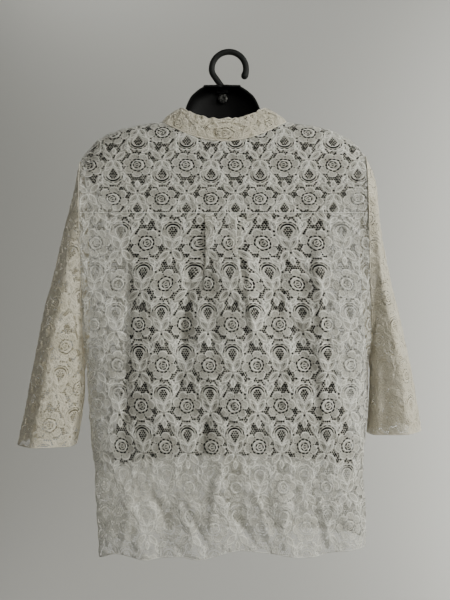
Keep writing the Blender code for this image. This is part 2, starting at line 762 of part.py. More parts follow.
def build_form(finish):
    columns = 19
    rows = []
    for share in (0.16, 0.5, 0.85):
        down, half, front = FORM["down"][0] - 0.0004 * (1 - share), FORM["half"][0] * share, FORM["front"][0]
        rows.append(form_section(down, half, NECK_RIM_Y - (NECK_RIM_Y - front) * share, columns))
    for down, half, front in zip(FORM["down"], FORM["half"], FORM["front"]):
        rows.append(form_section(down, half, front, columns))
    for out in FORM_SHOULDER_OUTS:
        down = float(follow(RIDGE, "down", out * FORM_SPREAD)) + REST_GAP * 1.2
        rows.append(form_section(down, out, float(follow(DEPTHS, "front", down)), columns))
    for down, half, front in zip(FORM_BODY["down"], FORM_BODY["half"], FORM_BODY["front"]):
        rows.append(form_section(down, half, front, columns))
    made = wall("form_shell", np.array(rows), SHELL, finish, offset=1.0)
    slot = bpy.data.meshes.new("hook_slot")
    bm = bmesh.new()
    bmesh.ops.create_cube(bm, size=1.0)
    bmesh.ops.scale(bm, verts=bm.verts, vec=(SLOT_X, SLOT_Y, SLOT_DEEP))
    bmesh.ops.translate(bm, verts=bm.verts, vec=(PLATE_X + SLOT_SHIFT, 0.0008, -FORM["down"][0]))
    bm.to_mesh(slot)
    bm.free()
    cutter = bpy.data.objects.new("hook_slot", slot)
    bpy.context.scene.collection.objects.link(cutter)
    cutter.hide_render = True
    cutter.display_type = "WIRE"
    cut = made.modifiers.new("slot", "BOOLEAN")
    cut.operation = "DIFFERENCE"
    cut.object = cutter
    return made


def hook_route():
    """Centre line of the hook in X and Z, from its free tip round to its foot."""
    centre = (HOOK_CENTRE_X, -(HOOK_RING - HOOK_TUBE / 2))
    first = math.radians(180 - HOOK_END_ANGLE)
    points = []
    for k in range(19):
        angle = first - (first - math.radians(-4)) * k / 18
        points.append((centre[0] + HOOK_RING * math.cos(angle), centre[1] + HOOK_RING * math.sin(angle)))
    corner = (HOOK_CORNER[0], -HOOK_CORNER[1] - 0.003)
    foot = (HOOK_FOOT[0], -HOOK_FOOT[1])
    points.append((corner[0] - 0.0012, corner[1] - 0.0012))
    for share in (0.5, 1.0):
        points.append((corner[0] + (foot[0] - corner[0]) * share, corner[1] + (foot[1] - corner[1]) * share))
    points.append((foot[0], foot[1] - 0.006))
    return points


def build_hook(finish):
    route = np.array(hook_route())
    sides = 12
    bm = bmesh.new()
    rings = []
    for k, point in enumerate(route):
        ahead = route[min(k + 1, len(route) - 1)] - route[max(k - 1, 0)]
        ahead = ahead / np.linalg.norm(ahead)
        normal = np.array([-ahead[1], ahead[0]])
        radius = HOOK_TUBE / 2 * (HOOK_TIP_SWELL if k == 0 else 1.0)
        ring = []
        for s in range(sides):
            angle = 2 * math.pi * s / sides
            flat = point + normal * radius * math.cos(angle)
            ring.append(bm.verts.new((flat[0], radius * math.sin(angle), flat[1])))
        rings.append(ring)
    first_ahead = (route[0] - route[1]) / np.linalg.norm(route[0] - route[1])
    normal = np.array([first_ahead[1], -first_ahead[0]])
    tip_rings = []
    for angle_up in (35, 65):
        reach = HOOK_TUBE / 2 * HOOK_TIP_SWELL
        place = route[0] + first_ahead * reach * math.sin(math.radians(angle_up))
        radius = reach * math.cos(math.radians(angle_up))
        ring = []
        for s in range(sides):
            angle = 2 * math.pi * s / sides
            flat = place + normal * radius * math.cos(angle)
            ring.append(bm.verts.new((flat[0], radius * math.sin(angle), flat[1])))
        tip_rings.insert(0, ring)
    rings = tip_rings + rings
    for low, high in zip(rings, rings[1:]):
        for s in range(sides):
            n = (s + 1) % sides
            bm.faces.new((low[s], low[n], high[n], high[s]))
    bm.faces.new(rings[0])
    bm.faces.new(rings[-1])
    bmesh.ops.recalc_face_normals(bm, faces=bm.faces)
    mesh = bpy.data.meshes.new("hook")
    bm.to_mesh(mesh)
    bm.free()
    made = add_object("hook", mesh, finish)

    plate = bpy.data.meshes.new("hook_plate")
    bm = bmesh.new()
    bmesh.ops.create_cube(bm, size=1.0)
    height = PLATE_BOTTOM_DOWN - PLATE_TOP_DOWN
    bmesh.ops.scale(bm, verts=bm.verts, vec=(PLATE_WIDTH, PLATE_THICK, height))
    middle = -(PLATE_TOP_DOWN + PLATE_BOTTOM_DOWN) / 2
    bmesh.ops.translate(bm, verts=bm.verts, vec=(PLATE_X, -PLATE_THICK / 4, middle))
    bmesh.ops.bevel(bm, geom=bm.edges, offset=PLATE_BEVEL, segments=1, affect="EDGES")
    bm.to_mesh(plate)
    bm.free()
    joined = bpy.data.objects.new("hook_plate", plate)
    bpy.context.scene.collection.objects.link(joined)
    joined.hide_render = True
    joined.display_type = "WIRE"
    union = made.modifiers.new("plate", "BOOLEAN")
    union.operation = "UNION"
    union.object = joined
    return made


def build_screw(finish):
    r, t = SCREW_RADIUS, SCREW_HEAD
    profile = [(0, 0), (r * 0.94, 0), (r, t * 0.3), (r * 0.92, t * 0.75), (r * 0.6, t), (0, t)]
    made = add_object("hook_screw", turned_mesh("hook_screw", profile, 20), finish)
    made.location = (PLATE_X, PLATE_THICK / 4 + SEAM_GAP, -SCREW_DOWN)
    made.rotation_euler = (-math.pi / 2, 0, 0)
    return made


def main():
    for old in list(bpy.data.objects):
        bpy.data.objects.remove(old, do_unlink=True)
    lace = material("cream cotton lace", (0.60, 0.56, 0.47), 0.85)
    doubled = material("doubled cotton lace", (0.64, 0.58, 0.47), 0.85)
    pearl = material("pearl polyester button", (0.72, 0.68, 0.60), 0.3)
    plastic = material("black moulded plastic", (0.012, 0.012, 0.012), 0.35)
    grey = material("black nylon hook", (0.03, 0.03, 0.03), 0.4)
    steel = material("blackened steel screw", (0.05, 0.05, 0.05), 0.4, 0.8)
    build_yoke(lace)
    build_back(lace)
    build_front("front_left", 1, lace)
    build_front("front_right", -1, lace)
    build_sleeve("sleeve_left", 1, doubled)
    build_sleeve("sleeve_right", -1, doubled)
    build_collar(doubled)
    build_buttons(pearl)
    build_form(plastic)
    build_hook(grey)
    build_screw(steel)


main()
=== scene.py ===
"""Dresses the lace shirt and its hanging torso form, as a Blender add-on that is run as a script.

Metres, +Z up, in the part's own frame: the origin is the inside top of the hook, the front of
the shirt faces -Y and its back faces +Y; the wearer's left is +X. "down" is a distance below
the origin. The shirt's sizes are those of the part's source.
"""

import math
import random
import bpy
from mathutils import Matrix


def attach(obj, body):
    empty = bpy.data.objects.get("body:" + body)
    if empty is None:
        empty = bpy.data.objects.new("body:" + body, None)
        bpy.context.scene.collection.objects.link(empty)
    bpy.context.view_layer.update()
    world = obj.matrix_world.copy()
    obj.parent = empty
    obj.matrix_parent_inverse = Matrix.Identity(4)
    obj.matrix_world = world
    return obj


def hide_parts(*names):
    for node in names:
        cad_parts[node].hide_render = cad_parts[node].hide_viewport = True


bl_info = {
    "name": "Lace Shirt on a Torso Form",
    "version": (1, 0, 0),
    "blender": (4, 5, 0),
    "location": "3D View > Sidebar > Lace Shirt",
    "description": "Lace cloth, seams, buttons, torso form and hook of a hanging lace shirt",
    "category": "Add Mesh",
}

import bmesh
import bpy
import numpy as np
from bpy.props import FloatProperty, FloatVectorProperty, IntProperty, PointerProperty
from bpy.types import Operator, Panel, PropertyGroup
from mathutils import Vector, geometry

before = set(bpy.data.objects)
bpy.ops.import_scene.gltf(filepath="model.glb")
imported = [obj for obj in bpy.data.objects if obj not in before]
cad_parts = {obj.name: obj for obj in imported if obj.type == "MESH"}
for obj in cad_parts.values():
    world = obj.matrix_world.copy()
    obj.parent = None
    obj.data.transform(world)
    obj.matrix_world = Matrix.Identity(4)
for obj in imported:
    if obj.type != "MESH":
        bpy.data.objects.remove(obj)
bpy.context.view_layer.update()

# Cloth, and the gaps left between pieces that are sewn or rest together
CLOTH = 0.0011
SEAM_GAP = 0.0003
FRONT_SEAM_GAP = 0.0008
ARMHOLE_GAP = CLOTH / 2 + 0.0005
ARMHOLE_EASE = 0.0016
REST_GAP = 0.0026

# Centre line of the shirt and the form, which hang with a slight lean
CENTRE_TOP = 0.0125
LEAN = 0.029
SHOULDER_CENTRE = 0.0077

# Shoulders: the ridge that the cloth rests on, and how it rounds over
RIDGE_Y = 0.033
SHOULDER_ROUND = 0.046
FRONT_SEAM_OUT = (0.080, 0.209)
FRONT_SEAM_DOWN = (0.1515, 0.211)
YOKE_SEAM_DOWN = 0.243

# Body: the plane of the side seams and how square each side of its section is
SIDE_Y = 0.008
BACK_SQUARE = 3.6
FRONT_SQUARE = 2.3
BACK_DEPTH = 0.047
FRONT_DEPTH = 0.116
HALF_WIDTH = 0.207

# Armholes: a long oval from the shoulder end to the underarm
UNDERARM_DOWN = {1: 0.462, -1: 0.452}
ARMHOLE_BACK = 0.036
ARMHOLE_FRONT = 0.055
ARMHOLE_ROUND = 0.85

# Neck seam and collar
NECK_HALF = 0.0906
NECK_SIDE_DOWN = 0.108
NECK_BACK_DIP = 0.030
NECK_FRONT_DROP = 0.080
NECK_FRONT_SQUARE = 2.2
COLLAR_TOP_CENTRE = 0.0095
COLLAR_TOP_HALF = 0.0640
COLLAR_TOP_BACK = 0.043
COLLAR_TOP_FRONT = 0.047
COLLAR_TOP_DOWN = {"back": 0.1055, "side": 0.083, "front": 0.152}
COLLAR_OPENING = 0.035

# Front closing and buttons
OVERLAP = 0.013
OVERLAP_RAISE = 0.0024
OVERLAP_FADE = (0.020, 0.045)
FRONT_HEM_DOWN = 0.735
BUTTON_RADIUS = 0.0055
BUTTON_THICK = 0.0024
BUTTON_COUNT = 7
BUTTON_FIRST_DOWN = 0.208
BUTTON_STEP = 0.074
BUTTON_HOLE_AT = 0.0012
BUTTON_HOLE_RADIUS = 0.0007
BUTTON_HOLE_LONG = 0.01

# Centre-back box pleat
PLEAT_OFFSET = 0.0075

# Torso form: the neck's front wall and rim, and the shell's own shape
SHELL = 0.0025
FORM_RIM_Y = 0.034
NECK_RIM_Y = 0.021
FORM_SQUARE = 2.4
FORM_SPREAD = 1.014

# Hook, its plate and its screw
HOOK_TUBE = 0.0087
HOOK_RING = 0.0258
HOOK_CENTRE_X = 0.0009
HOOK_END_ANGLE = -24
HOOK_CORNER = (0.0270, 0.0240)
HOOK_FOOT = (0.0094, 0.0510)
HOOK_TIP_SWELL = 1.2
HOOK_FULLNESS = 0.525
PLATE_X = 0.0100
PLATE_WIDTH = 0.0120
PLATE_THICK = 0.0040
PLATE_TOP_DOWN = 0.0505
SCREW_DOWN = 0.0665
SCREW_RADIUS = 0.0068
SCREW_HEAD = 0.0026
SCREW_CROSS = (0.0062, 0.0013, 0.0018)
SLOT_X = 0.0180
SLOT_SHIFT = 0.0005
SLOT_Y = 0.0120
SLOT_HIGH = 0.012
SMALL_EDGE = 0.00025
PLATE_EDGE = 0.0011


def table(columns, *rows):
    """A short table whose rows are read by the names of its columns."""
    return {name: np.array([row[i] for row in rows]) for i, name in enumerate(columns.split())}


# The shirt's two sides as seen from the back
SIDES = table(
    "down left right",
    (0.155, 0.2170, -0.1970),
    (0.311, 0.2140, -0.2000),
    (0.434, 0.2120, -0.2055),
    (0.511, 0.2090, -0.2045),
    (0.587, 0.2030, -0.1990),
    (0.623, 0.1990, -0.1970),
    (0.677, 0.1970, -0.2015),
    (0.751, 0.1930, -0.2010),
)

# Top line of the shoulders by distance from their centre
RIDGE = table(
    "out down",
    (0.000, 0.1045),
    (0.070, 0.1055),
    (0.090, 0.1080),
    (0.135, 0.1145),
    (0.170, 0.1260),
    (0.190, 0.1385),
    (0.203, 0.1540),
    (0.210, 0.1660),
)

# How far the back and the front stand out
DEPTHS = table(
    "down back front",
    (0.100, 0.047, 0.005),
    (0.140, 0.050, -0.030),
    (0.200, 0.054, -0.068),
    (0.260, 0.056, -0.098),
    (0.330, 0.057, -0.113),
    (0.450, 0.057, -0.109),
    (0.620, 0.057, -0.105),
    (0.750, 0.053, -0.103),
)

# Back hem, from the right side (-1) to the left side (1)
HEM = table(
    "across down",
    (-1.00, 0.725),
    (-0.90, 0.729),
    (-0.68, 0.732),
    (-0.51, 0.739),
    (-0.25, 0.733),
    (-0.06, 0.729),
    (0.20, 0.741),
    (0.31, 0.738),
    (0.55, 0.742),
    (0.75, 0.736),
    (0.92, 0.745),
    (1.00, 0.736),
)

# One half of the box pleat, from its middle outwards: where each line of the cloth lies when
# folded, how high it lies as a share of the pleat's lift, and where it lies once let go
PLEAT = table(
    "folded lift free",
    (0.0000, 1.00, 0.000),
    (0.0110, 1.00, 0.012),
    (0.0205, 1.00, 0.022),
    (0.0225, 0.88, 0.027),
    (0.0210, 0.62, 0.031),
    (0.0155, 0.52, 0.035),
    (0.0110, 0.42, 0.039),
    (0.0095, 0.22, 0.043),
    (0.0115, 0.02, 0.047),
    (0.0200, 0.00, 0.052),
    (0.0330, 0.00, 0.059),
)

# The pleat down the back: its lift, and how far it has been let go
PLEAT_DROP = table(
    "below lift free",
    (0.000, 0.0046, 0.00),
    (0.030, 0.0056, 0.06),
    (0.080, 0.0080, 0.45),
    (0.150, 0.0065, 1.00),
    (0.250, 0.0050, 1.00),
    (0.500, 0.0030, 1.00),
)

# Soft folds: a line from a top to a low end, its height outwards and its half-width
BACK_FOLDS = table(
    "top_x top_down low_x low_down height width",
    (0.033, 0.300, 0.024, 0.460, -0.0045, 0.012),
    (-0.026, 0.300, -0.042, 0.440, 0.0050, 0.013),
    (-0.072, 0.290, -0.066, 0.520, -0.0030, 0.014),
    (-0.110, 0.300, -0.094, 0.420, -0.0050, 0.013),
    (-0.094, 0.410, -0.119, 0.500, -0.0045, 0.013),
    (0.067, 0.390, 0.076, 0.500, -0.0045, 0.013),
    (0.112, 0.300, 0.104, 0.560, 0.0030, 0.016),
    (0.038, 0.520, 0.043, 0.600, -0.0035, 0.010),
    (0.162, 0.330, 0.150, 0.620, -0.0035, 0.016),
    (-0.160, 0.340, -0.150, 0.640, 0.0035, 0.016),
    (0.150, 0.640, 0.118, 0.760, 0.0060, 0.014),
    (0.090, 0.660, 0.104, 0.760, -0.0050, 0.013),
    (0.060, 0.650, 0.045, 0.760, 0.0050, 0.013),
    (-0.010, 0.640, -0.022, 0.760, -0.0045, 0.015),
    (-0.070, 0.640, -0.092, 0.760, 0.0060, 0.015),
    (-0.128, 0.650, -0.140, 0.760, -0.0055, 0.014),
    (-0.178, 0.640, -0.170, 0.760, 0.0050, 0.012),
)

FRONT_FOLDS = table(
    "top_x top_down low_x low_down height width",
    (0.100, 0.350, 0.086, 0.700, 0.0050, 0.016),
    (0.058, 0.400, 0.064, 0.760, -0.0045, 0.014),
    (0.140, 0.380, 0.132, 0.760, -0.0050, 0.015),
    (-0.062, 0.370, -0.058, 0.760, 0.0045, 0.014),
    (-0.104, 0.350, -0.092, 0.740, -0.0050, 0.016),
    (-0.142, 0.400, -0.134, 0.760, 0.0050, 0.014),
    (0.034, 0.600, 0.040, 0.760, 0.0040, 0.011),
    (-0.172, 0.420, -0.166, 0.760, -0.0040, 0.012),
)

# Each sleeve from the armhole to the cuff: the outer and inner lines as seen from the back
SLEEVES = {
    1: table(
        "step outer_x outer_down inner_x inner_down back front mid_y",
        (0, 0.2170, 0.166, 0.2114, 0.462, 0.036, 0.055, 0.0205),
        (1, 0.2260, 0.205, 0.2150, 0.467, 0.037, 0.054, 0.0190),
        (2, 0.2400, 0.257, 0.2165, 0.471, 0.038, 0.052, 0.0170),
        (3, 0.2580, 0.328, 0.2175, 0.477, 0.040, 0.050, 0.0140),
        (4, 0.2755, 0.392, 0.2175, 0.487, 0.043, 0.048, 0.0100),
        (5, 0.2920, 0.470, 0.2175, 0.505, 0.045, 0.047, 0.0050),
        (6, 0.3040, 0.528, 0.2225, 0.545, 0.046, 0.046, 0.0010),
        (7, 0.3160, 0.581, 0.2300, 0.583, 0.046, 0.046, -0.0020),
    ),
    -1: table(
        "step outer_x outer_down inner_x inner_down back front mid_y",
        (0, -0.1970, 0.158, -0.2054, 0.452, 0.036, 0.055, 0.0205),
        (1, -0.2120, 0.195, -0.2090, 0.457, 0.037, 0.054, 0.0190),
        (2, -0.2195, 0.255, -0.2100, 0.461, 0.038, 0.052, 0.0170),
        (3, -0.2360, 0.337, -0.2110, 0.467, 0.040, 0.050, 0.0140),
        (4, -0.2520, 0.397, -0.2110, 0.477, 0.043, 0.048, 0.0100),
        (5, -0.2680, 0.465, -0.2110, 0.495, 0.045, 0.047, 0.0050),
        (6, -0.2785, 0.518, -0.2095, 0.530, 0.046, 0.046, 0.0010),
        (7, -0.2860, 0.560, -0.2070, 0.566, 0.046, 0.046, -0.0020),
    ),
}

# Sleeve folds run along the arm: around is in degrees from the outer line, back first
SLEEVE_FOLDS = table(
    "around first last height width",
    (75, 1.5, 7.5, 0.0060, 16),
    (38, 1.0, 6.0, -0.0045, 14),
    (118, 3.0, 7.5, -0.0050, 15),
    (-60, 1.5, 7.5, 0.0050, 16),
    (-105, 2.5, 7.5, -0.0045, 15),
    (150, 4.0, 7.5, 0.0030, 12),
)

# The form's own outline from the back, and how far its front stands out
FORM = table(
    "down half front",
    (0.0525, 0.0270, -0.0073),
    (0.0550, 0.0318, -0.0073),
    (0.0600, 0.0385, -0.0073),
    (0.0665, 0.0457, -0.0073),
    (0.0735, 0.0500, -0.0073),
    (0.0810, 0.0534, -0.0073),
    (0.0900, 0.0562, -0.0073),
    (0.0990, 0.0590, -0.0078),
    (0.1045, 0.0640, -0.0090),
    (0.1105, 0.0740, -0.0100),
)
FORM_TOP_RISE = 0.002
FORM_CROWN = 0.0004
FORM_BODY_TOP = 0.1705
FORM_SHOULDER_OUTS = (0.100, 0.116, 0.132, 0.148, 0.163, 0.176, 0.187, 0.195, 0.2005)
FORM_BODY = table(
    "down half front",
    (0.172, 0.2010, -0.050),
    (0.184, 0.2000, -0.058),
    (0.205, 0.1860, -0.070),
    (0.224, 0.1690, -0.081),
    (0.245, 0.1540, -0.090),
    (0.275, 0.1480, -0.101),
    (0.310, 0.1460, -0.109),
    (0.345, 0.1440, -0.111),
    (0.385, 0.1430, -0.100),
    (0.425, 0.1460, -0.085),
    (0.470, 0.1530, -0.080),
    (0.515, 0.1630, -0.084),
    (0.560, 0.1700, -0.088),
    (0.600, 0.1745, -0.091),
    (0.6165, 0.1750, -0.092),
)


def follow(rows, column, at):
    """Reads a column at any place along the first one, on a smooth curve through the rows."""
    keys = next(iter(rows.values()))
    values = rows[column]
    steps = np.diff(values) / np.diff(keys)
    inner = np.where(
        steps[:-1] * steps[1:] > 0,
        2 * steps[:-1] * steps[1:] / np.where(steps[:-1] + steps[1:] == 0, 1, steps[:-1] + steps[1:]),
        0,
    )
    slopes = np.concatenate([steps[:1], inner, steps[-1:]])
    at = np.clip(np.asarray(at, float), keys[0], keys[-1])
    k = np.clip(np.searchsorted(keys, at, side="right") - 1, 0, len(keys) - 2)
    width = keys[k + 1] - keys[k]
    t = (at - keys[k]) / width
    rise = t * t * (3 - 2 * t)
    start = t * (1 - t) ** 2 * width * slopes[k]
    end = t * t * (t - 1) * width * slopes[k + 1]
    return values[k] * (1 - rise) + values[k + 1] * rise + start + end


def ease(low, high, at):
    """0 below low, 1 above high, and a smooth step between."""
    t = np.clip((np.asarray(at, float) - low) / (high - low), 0, 1)
    return t * t * (3 - 2 * t)


def power(value, exponent):
    return np.sign(value) * np.abs(value) ** exponent


def centre_x(down):
    return CENTRE_TOP - LEAN * np.asarray(down, float)


def edge_x(side, down):
    return follow(SIDES, "left" if side > 0 else "right", down)


def across(x, down):
    """Share of the way from the centre line to the side, with the side it is on."""
    offset = np.asarray(x, float) - centre_x(down)
    reach = np.where(offset > 0, edge_x(1, down), edge_x(-1, down)) - centre_x(down)
    return np.clip(offset / reach, 0, 1), np.where(offset > 0, 1, -1)


def ridge_down(x):
    return follow(RIDGE, "down", np.abs(np.asarray(x, float) - SHOULDER_CENTRE))


def armhole_y(side, down, face):
    """The armhole's edge on the back (1) or front (-1), and the side seam below it."""
    top = np.where(side > 0, SLEEVES[1]["outer_down"][0], SLEEVES[-1]["outer_down"][0])
    bottom = np.where(side > 0, UNDERARM_DOWN[1], UNDERARM_DOWN[-1])
    share = np.clip((bottom - down) / (bottom - top), 0, 1)
    chord = SIDE_Y + (RIDGE_Y - SIDE_Y) * share
    along = np.abs(2 * share - 1) ** (1 / ARMHOLE_ROUND)
    bulge = np.clip(1 - along * along, 0, 1) ** (ARMHOLE_ROUND / 2)
    return chord + (ARMHOLE_BACK if face > 0 else -ARMHOLE_FRONT) * bulge


def body_y(x, down, face):
    """The cloth's middle surface on the back (1) or the front (-1)."""
    square = BACK_SQUARE if face > 0 else FRONT_SQUARE
    out, side = across(x, down)
    flatness = (1 - out**square) ** (1 / square)
    fall = np.clip((down - ridge_down(x)) / SHOULDER_ROUND, 0, 1)
    turned = np.sqrt(1 - (1 - fall) ** 2)
    wall = follow(DEPTHS, "back" if face > 0 else "front", down)
    middle = RIDGE_Y + (wall - RIDGE_Y) * turned
    return middle * flatness + armhole_y(side, down, face) * (1 - flatness)


def fold_height(folds, x, down):
    """Height outwards of all the soft folds, which fade at their ends and at the sides."""
    total = np.zeros(np.broadcast(x, down).shape)
    for k in range(len(folds["height"])):
        length = folds["low_down"][k] - folds["top_down"][k]
        share = (down - folds["top_down"][k]) / length
        line = folds["top_x"][k] + (folds["low_x"][k] - folds["top_x"][k]) * share
        fade = ease(-0.25, 0.25, share) * (1 - ease(0.8, 1.25, share))
        total = total + folds["height"][k] * fade * np.exp(-(((x - line) / folds["width"][k]) ** 2))
    out, _ = across(x, down)
    return total * (1 - out**6)


def body_point(x, down, face, lift=0.0):
    folds = BACK_FOLDS if face > 0 else FRONT_FOLDS
    y = body_y(x, down, face) + face * (fold_height(folds, x, down) + lift)
    x, y, z = np.broadcast_arrays(x, y, -np.asarray(down, float))
    return np.stack([x, y, z], axis=-1)


def neck_back(turn):
    """The neck seam behind the ridge, by angle from the centre back in radians."""
    x = SHOULDER_CENTRE + NECK_HALF * np.sin(turn)
    down = NECK_SIDE_DOWN + NECK_BACK_DIP * (1 - np.sin(turn) ** 2)
    return x, down


def neck_front(turn):
    """The neck seam before the ridge, by angle from the side of the neck in radians."""
    exponent = 2 / NECK_FRONT_SQUARE
    x = SHOULDER_CENTRE + NECK_HALF * power(np.cos(turn), exponent)
    down = NECK_SIDE_DOWN + NECK_FRONT_DROP * np.abs(np.sin(turn)) ** exponent
    return x, down


def drop_turn(drop):
    """Turns a drop below the ridge into a place around the shoulder's curve."""
    share = drop / SHOULDER_ROUND
    return np.where(share < 1, np.arccos(np.clip(1 - share, 0, 1)), math.pi / 2 + share - 1)


def turn_drop(turn):
    curved = 1 - np.cos(np.clip(turn, 0, math.pi / 2))
    return SHOULDER_ROUND * np.where(turn < math.pi / 2, curved, 1 + turn - math.pi / 2)


def shoulder_point(x, turn):
    """A point over the shoulder: behind the ridge where turn is positive, else before it."""
    down = ridge_down(x) + turn_drop(np.abs(turn))
    behind = body_point(x, down, 1)
    before = body_point(x, down, -1)
    return np.where((turn >= 0)[..., None], behind, before)


def front_seam(x):
    """The front yoke seam: a straight line from the neck down to the armhole."""
    out = np.abs(np.asarray(x, float) - SHOULDER_CENTRE)
    share = (out - FRONT_SEAM_OUT[0]) / (FRONT_SEAM_OUT[1] - FRONT_SEAM_OUT[0])
    return FRONT_SEAM_DOWN[0] + (FRONT_SEAM_DOWN[1] - FRONT_SEAM_DOWN[0]) * share


def neck_front_down(x):
    """The front neck seam by its place across; level with the neck's side outside it."""
    out = np.abs(x - SHOULDER_CENTRE) / NECK_HALF
    share = np.clip(1 - out**NECK_FRONT_SQUARE, 0, 1) ** (1 / NECK_FRONT_SQUARE)
    return NECK_SIDE_DOWN + NECK_FRONT_DROP * share


def front_top(x):
    """Top edge of a front: the front yoke seam, and the neck seam inside it."""
    seam = front_seam(x)
    inside = np.abs(x - SHOULDER_CENTRE) < FRONT_SEAM_OUT[0]
    return np.where(inside, np.maximum(neck_front_down(x), seam), seam) + FRONT_SEAM_GAP


def sleeve_point(side, step, turn):
    """A point of a sleeve by its step from the armhole and its angle from the outer line."""
    rows = SLEEVES[side]
    read = {name: follow(rows, name, step) for name in rows}
    along = power(np.cos(turn), ARMHOLE_ROUND)
    bulge = power(np.sin(turn), ARMHOLE_ROUND)
    half_x = (read["outer_x"] - read["inner_x"]) / 2
    half_down = (read["outer_down"] - read["inner_down"]) / 2
    x = (read["outer_x"] + read["inner_x"]) / 2 + half_x * along
    down = (read["outer_down"] + read["inner_down"]) / 2 + half_down * along
    seam = 1 - ease(0, 2, step)
    edge = edge_x(side, down) + side * (ARMHOLE_GAP + ARMHOLE_EASE * (1 - along) / 2)
    straight = rows["inner_x"][0] + (rows["outer_x"][0] - rows["inner_x"][0]) * (1 + along) / 2
    x = x + (edge - straight) * seam
    tilt = (RIDGE_Y - SIDE_Y) / 2 * (1 - ease(0, 6, step))
    fullness = np.zeros(np.shape(turn))
    degrees = np.degrees(np.arctan2(np.sin(turn), np.cos(turn)))
    for k in range(len(SLEEVE_FOLDS["height"])):
        away = (degrees - SLEEVE_FOLDS["around"][k] + 180) % 360 - 180
        fade = ease(SLEEVE_FOLDS["first"][k] - 1, SLEEVE_FOLDS["first"][k] + 1.5, step)
        fade = fade * (1 - ease(SLEEVE_FOLDS["last"][k] - 0.5, SLEEVE_FOLDS["last"][k] + 1, step))
        swell = np.exp(-((away / SLEEVE_FOLDS["width"][k]) ** 2))
        fullness = fullness + SLEEVE_FOLDS["height"][k] * fade * swell
    depth = np.where(bulge > 0, read["back"], read["front"])
    y = read["mid_y"] + tilt * along + bulge * (depth + fullness)
    return np.stack(np.broadcast_arrays(x, y, -down), axis=-1)


def collar_bottom(turn):
    """The collar's lower edge by angle from the centre back, from -pi to pi."""
    away = abs(turn)
    side = 1 if turn >= 0 else -1
    if away <= math.pi / 2:
        x, down = neck_back(away)
        face = 1
    else:
        x, down = neck_front(away - math.pi / 2)
        face = -1
    x = SHOULDER_CENTRE + side * (float(x) - SHOULDER_CENTRE)
    return body_point(np.array(x), np.array(down), face)


def collar_top(turn):
    away = abs(turn)
    out = math.sin(away)
    if away <= math.pi / 2:
        exponent, depth, low = 2 / 3, COLLAR_TOP_BACK, COLLAR_TOP_DOWN["back"]
    else:
        exponent, depth, low = 2 / 2.2, COLLAR_TOP_FRONT, COLLAR_TOP_DOWN["front"]
    x = COLLAR_TOP_CENTRE + math.copysign(COLLAR_TOP_HALF, turn) * out**exponent
    y = math.copysign(depth, math.cos(turn)) * abs(math.cos(turn)) ** exponent
    down = low + (COLLAR_TOP_DOWN["side"] - low) * out**1.6
    return np.array([x, y, -down])


def front_frame(down):
    """The centre front's outer point and its slope as seen from the side."""
    x = centre_x(down)
    here = body_point(x, np.array(down), -1, OVERLAP_RAISE)
    below = body_point(x, np.array(down + 0.004), -1, OVERLAP_RAISE)
    above = body_point(x, np.array(down - 0.004), -1, OVERLAP_RAISE)
    slope = math.atan2(above[1] - below[1], above[2] - below[2])
    return here, slope


def form_front_y(x, down, front):
    """The form's own front, held inside the cloth that rests on it."""
    cloth_x = SHOULDER_CENTRE + (x - SHOULDER_CENTRE) * FORM_SPREAD
    inside = body_y(cloth_x, down - REST_GAP, -1) + REST_GAP
    covered = down - REST_GAP > ridge_down(cloth_x)
    return np.where(covered & (down > 0.105), np.maximum(front, inside), front)


def read_form(rows, down):
    return float(follow(rows, "half", down)), float(follow(rows, "front", down))


def form_section(down, half, front, columns):
    rim = NECK_RIM_Y + (FORM_RIM_Y - NECK_RIM_Y) * float(ease(0.085, 0.104, down))
    turn = np.linspace(-math.pi / 2, math.pi / 2, columns)
    out = power(np.sin(turn), 2 / FORM_SQUARE)
    deep = np.abs(np.cos(turn)) ** (2 / FORM_SQUARE)
    middle = centre_x(down) if down < 0.1 or down > 0.2 else SHOULDER_CENTRE
    x = middle + half * out
    y = rim - (rim - front) * deep
    y = np.minimum(form_front_y(x, np.full(x.shape, down), y), rim)
    return np.stack([x, y, np.full(x.shape, -down)], axis=-1)


def hook_route():
    """Centre line of the hook in X and Z, from its free tip round to its foot."""
    centre = (HOOK_CENTRE_X, -(HOOK_RING - HOOK_TUBE / 2))
    first = math.radians(180 - HOOK_END_ANGLE)
    points = []
    for k in range(19):
        angle = first - (first - math.radians(-4)) * k / 18
        across_it, up_it = HOOK_RING * math.cos(angle), HOOK_RING * math.sin(angle)
        points.append((centre[0] + across_it, centre[1] + up_it))
    corner = (HOOK_CORNER[0], -HOOK_CORNER[1] - 0.003)
    foot = (HOOK_FOOT[0], -HOOK_FOOT[1])
    points.append((corner[0] - 0.0012, corner[1] - 0.0012))
    for share in (0.5, 1.0):
        points.append(tuple(a + (b - a) * share for a, b in zip(corner, foot)))
    points.append((foot[0], foot[1] - 0.006))
    return points


# Lace design, in millimetres

REPEAT_WIDE = 68.0
REPEAT_HIGH = 117.0
PETALS = 7
CORD_WIDTH = 1.0
NET_PITCH = 3.2
NET_JITTER = 0.2
LOOSE_PITCH = 4.6
LOOSE_GAP = 1.5
LEAF_POINT = 0.85
LOBE_ROUND = 0.7
CELL_MARGIN = 12.0
NET_SEED = 5
LOOSE_SEED = 9
HEXAGON = [math.radians(60 * k) for k in range(6)]

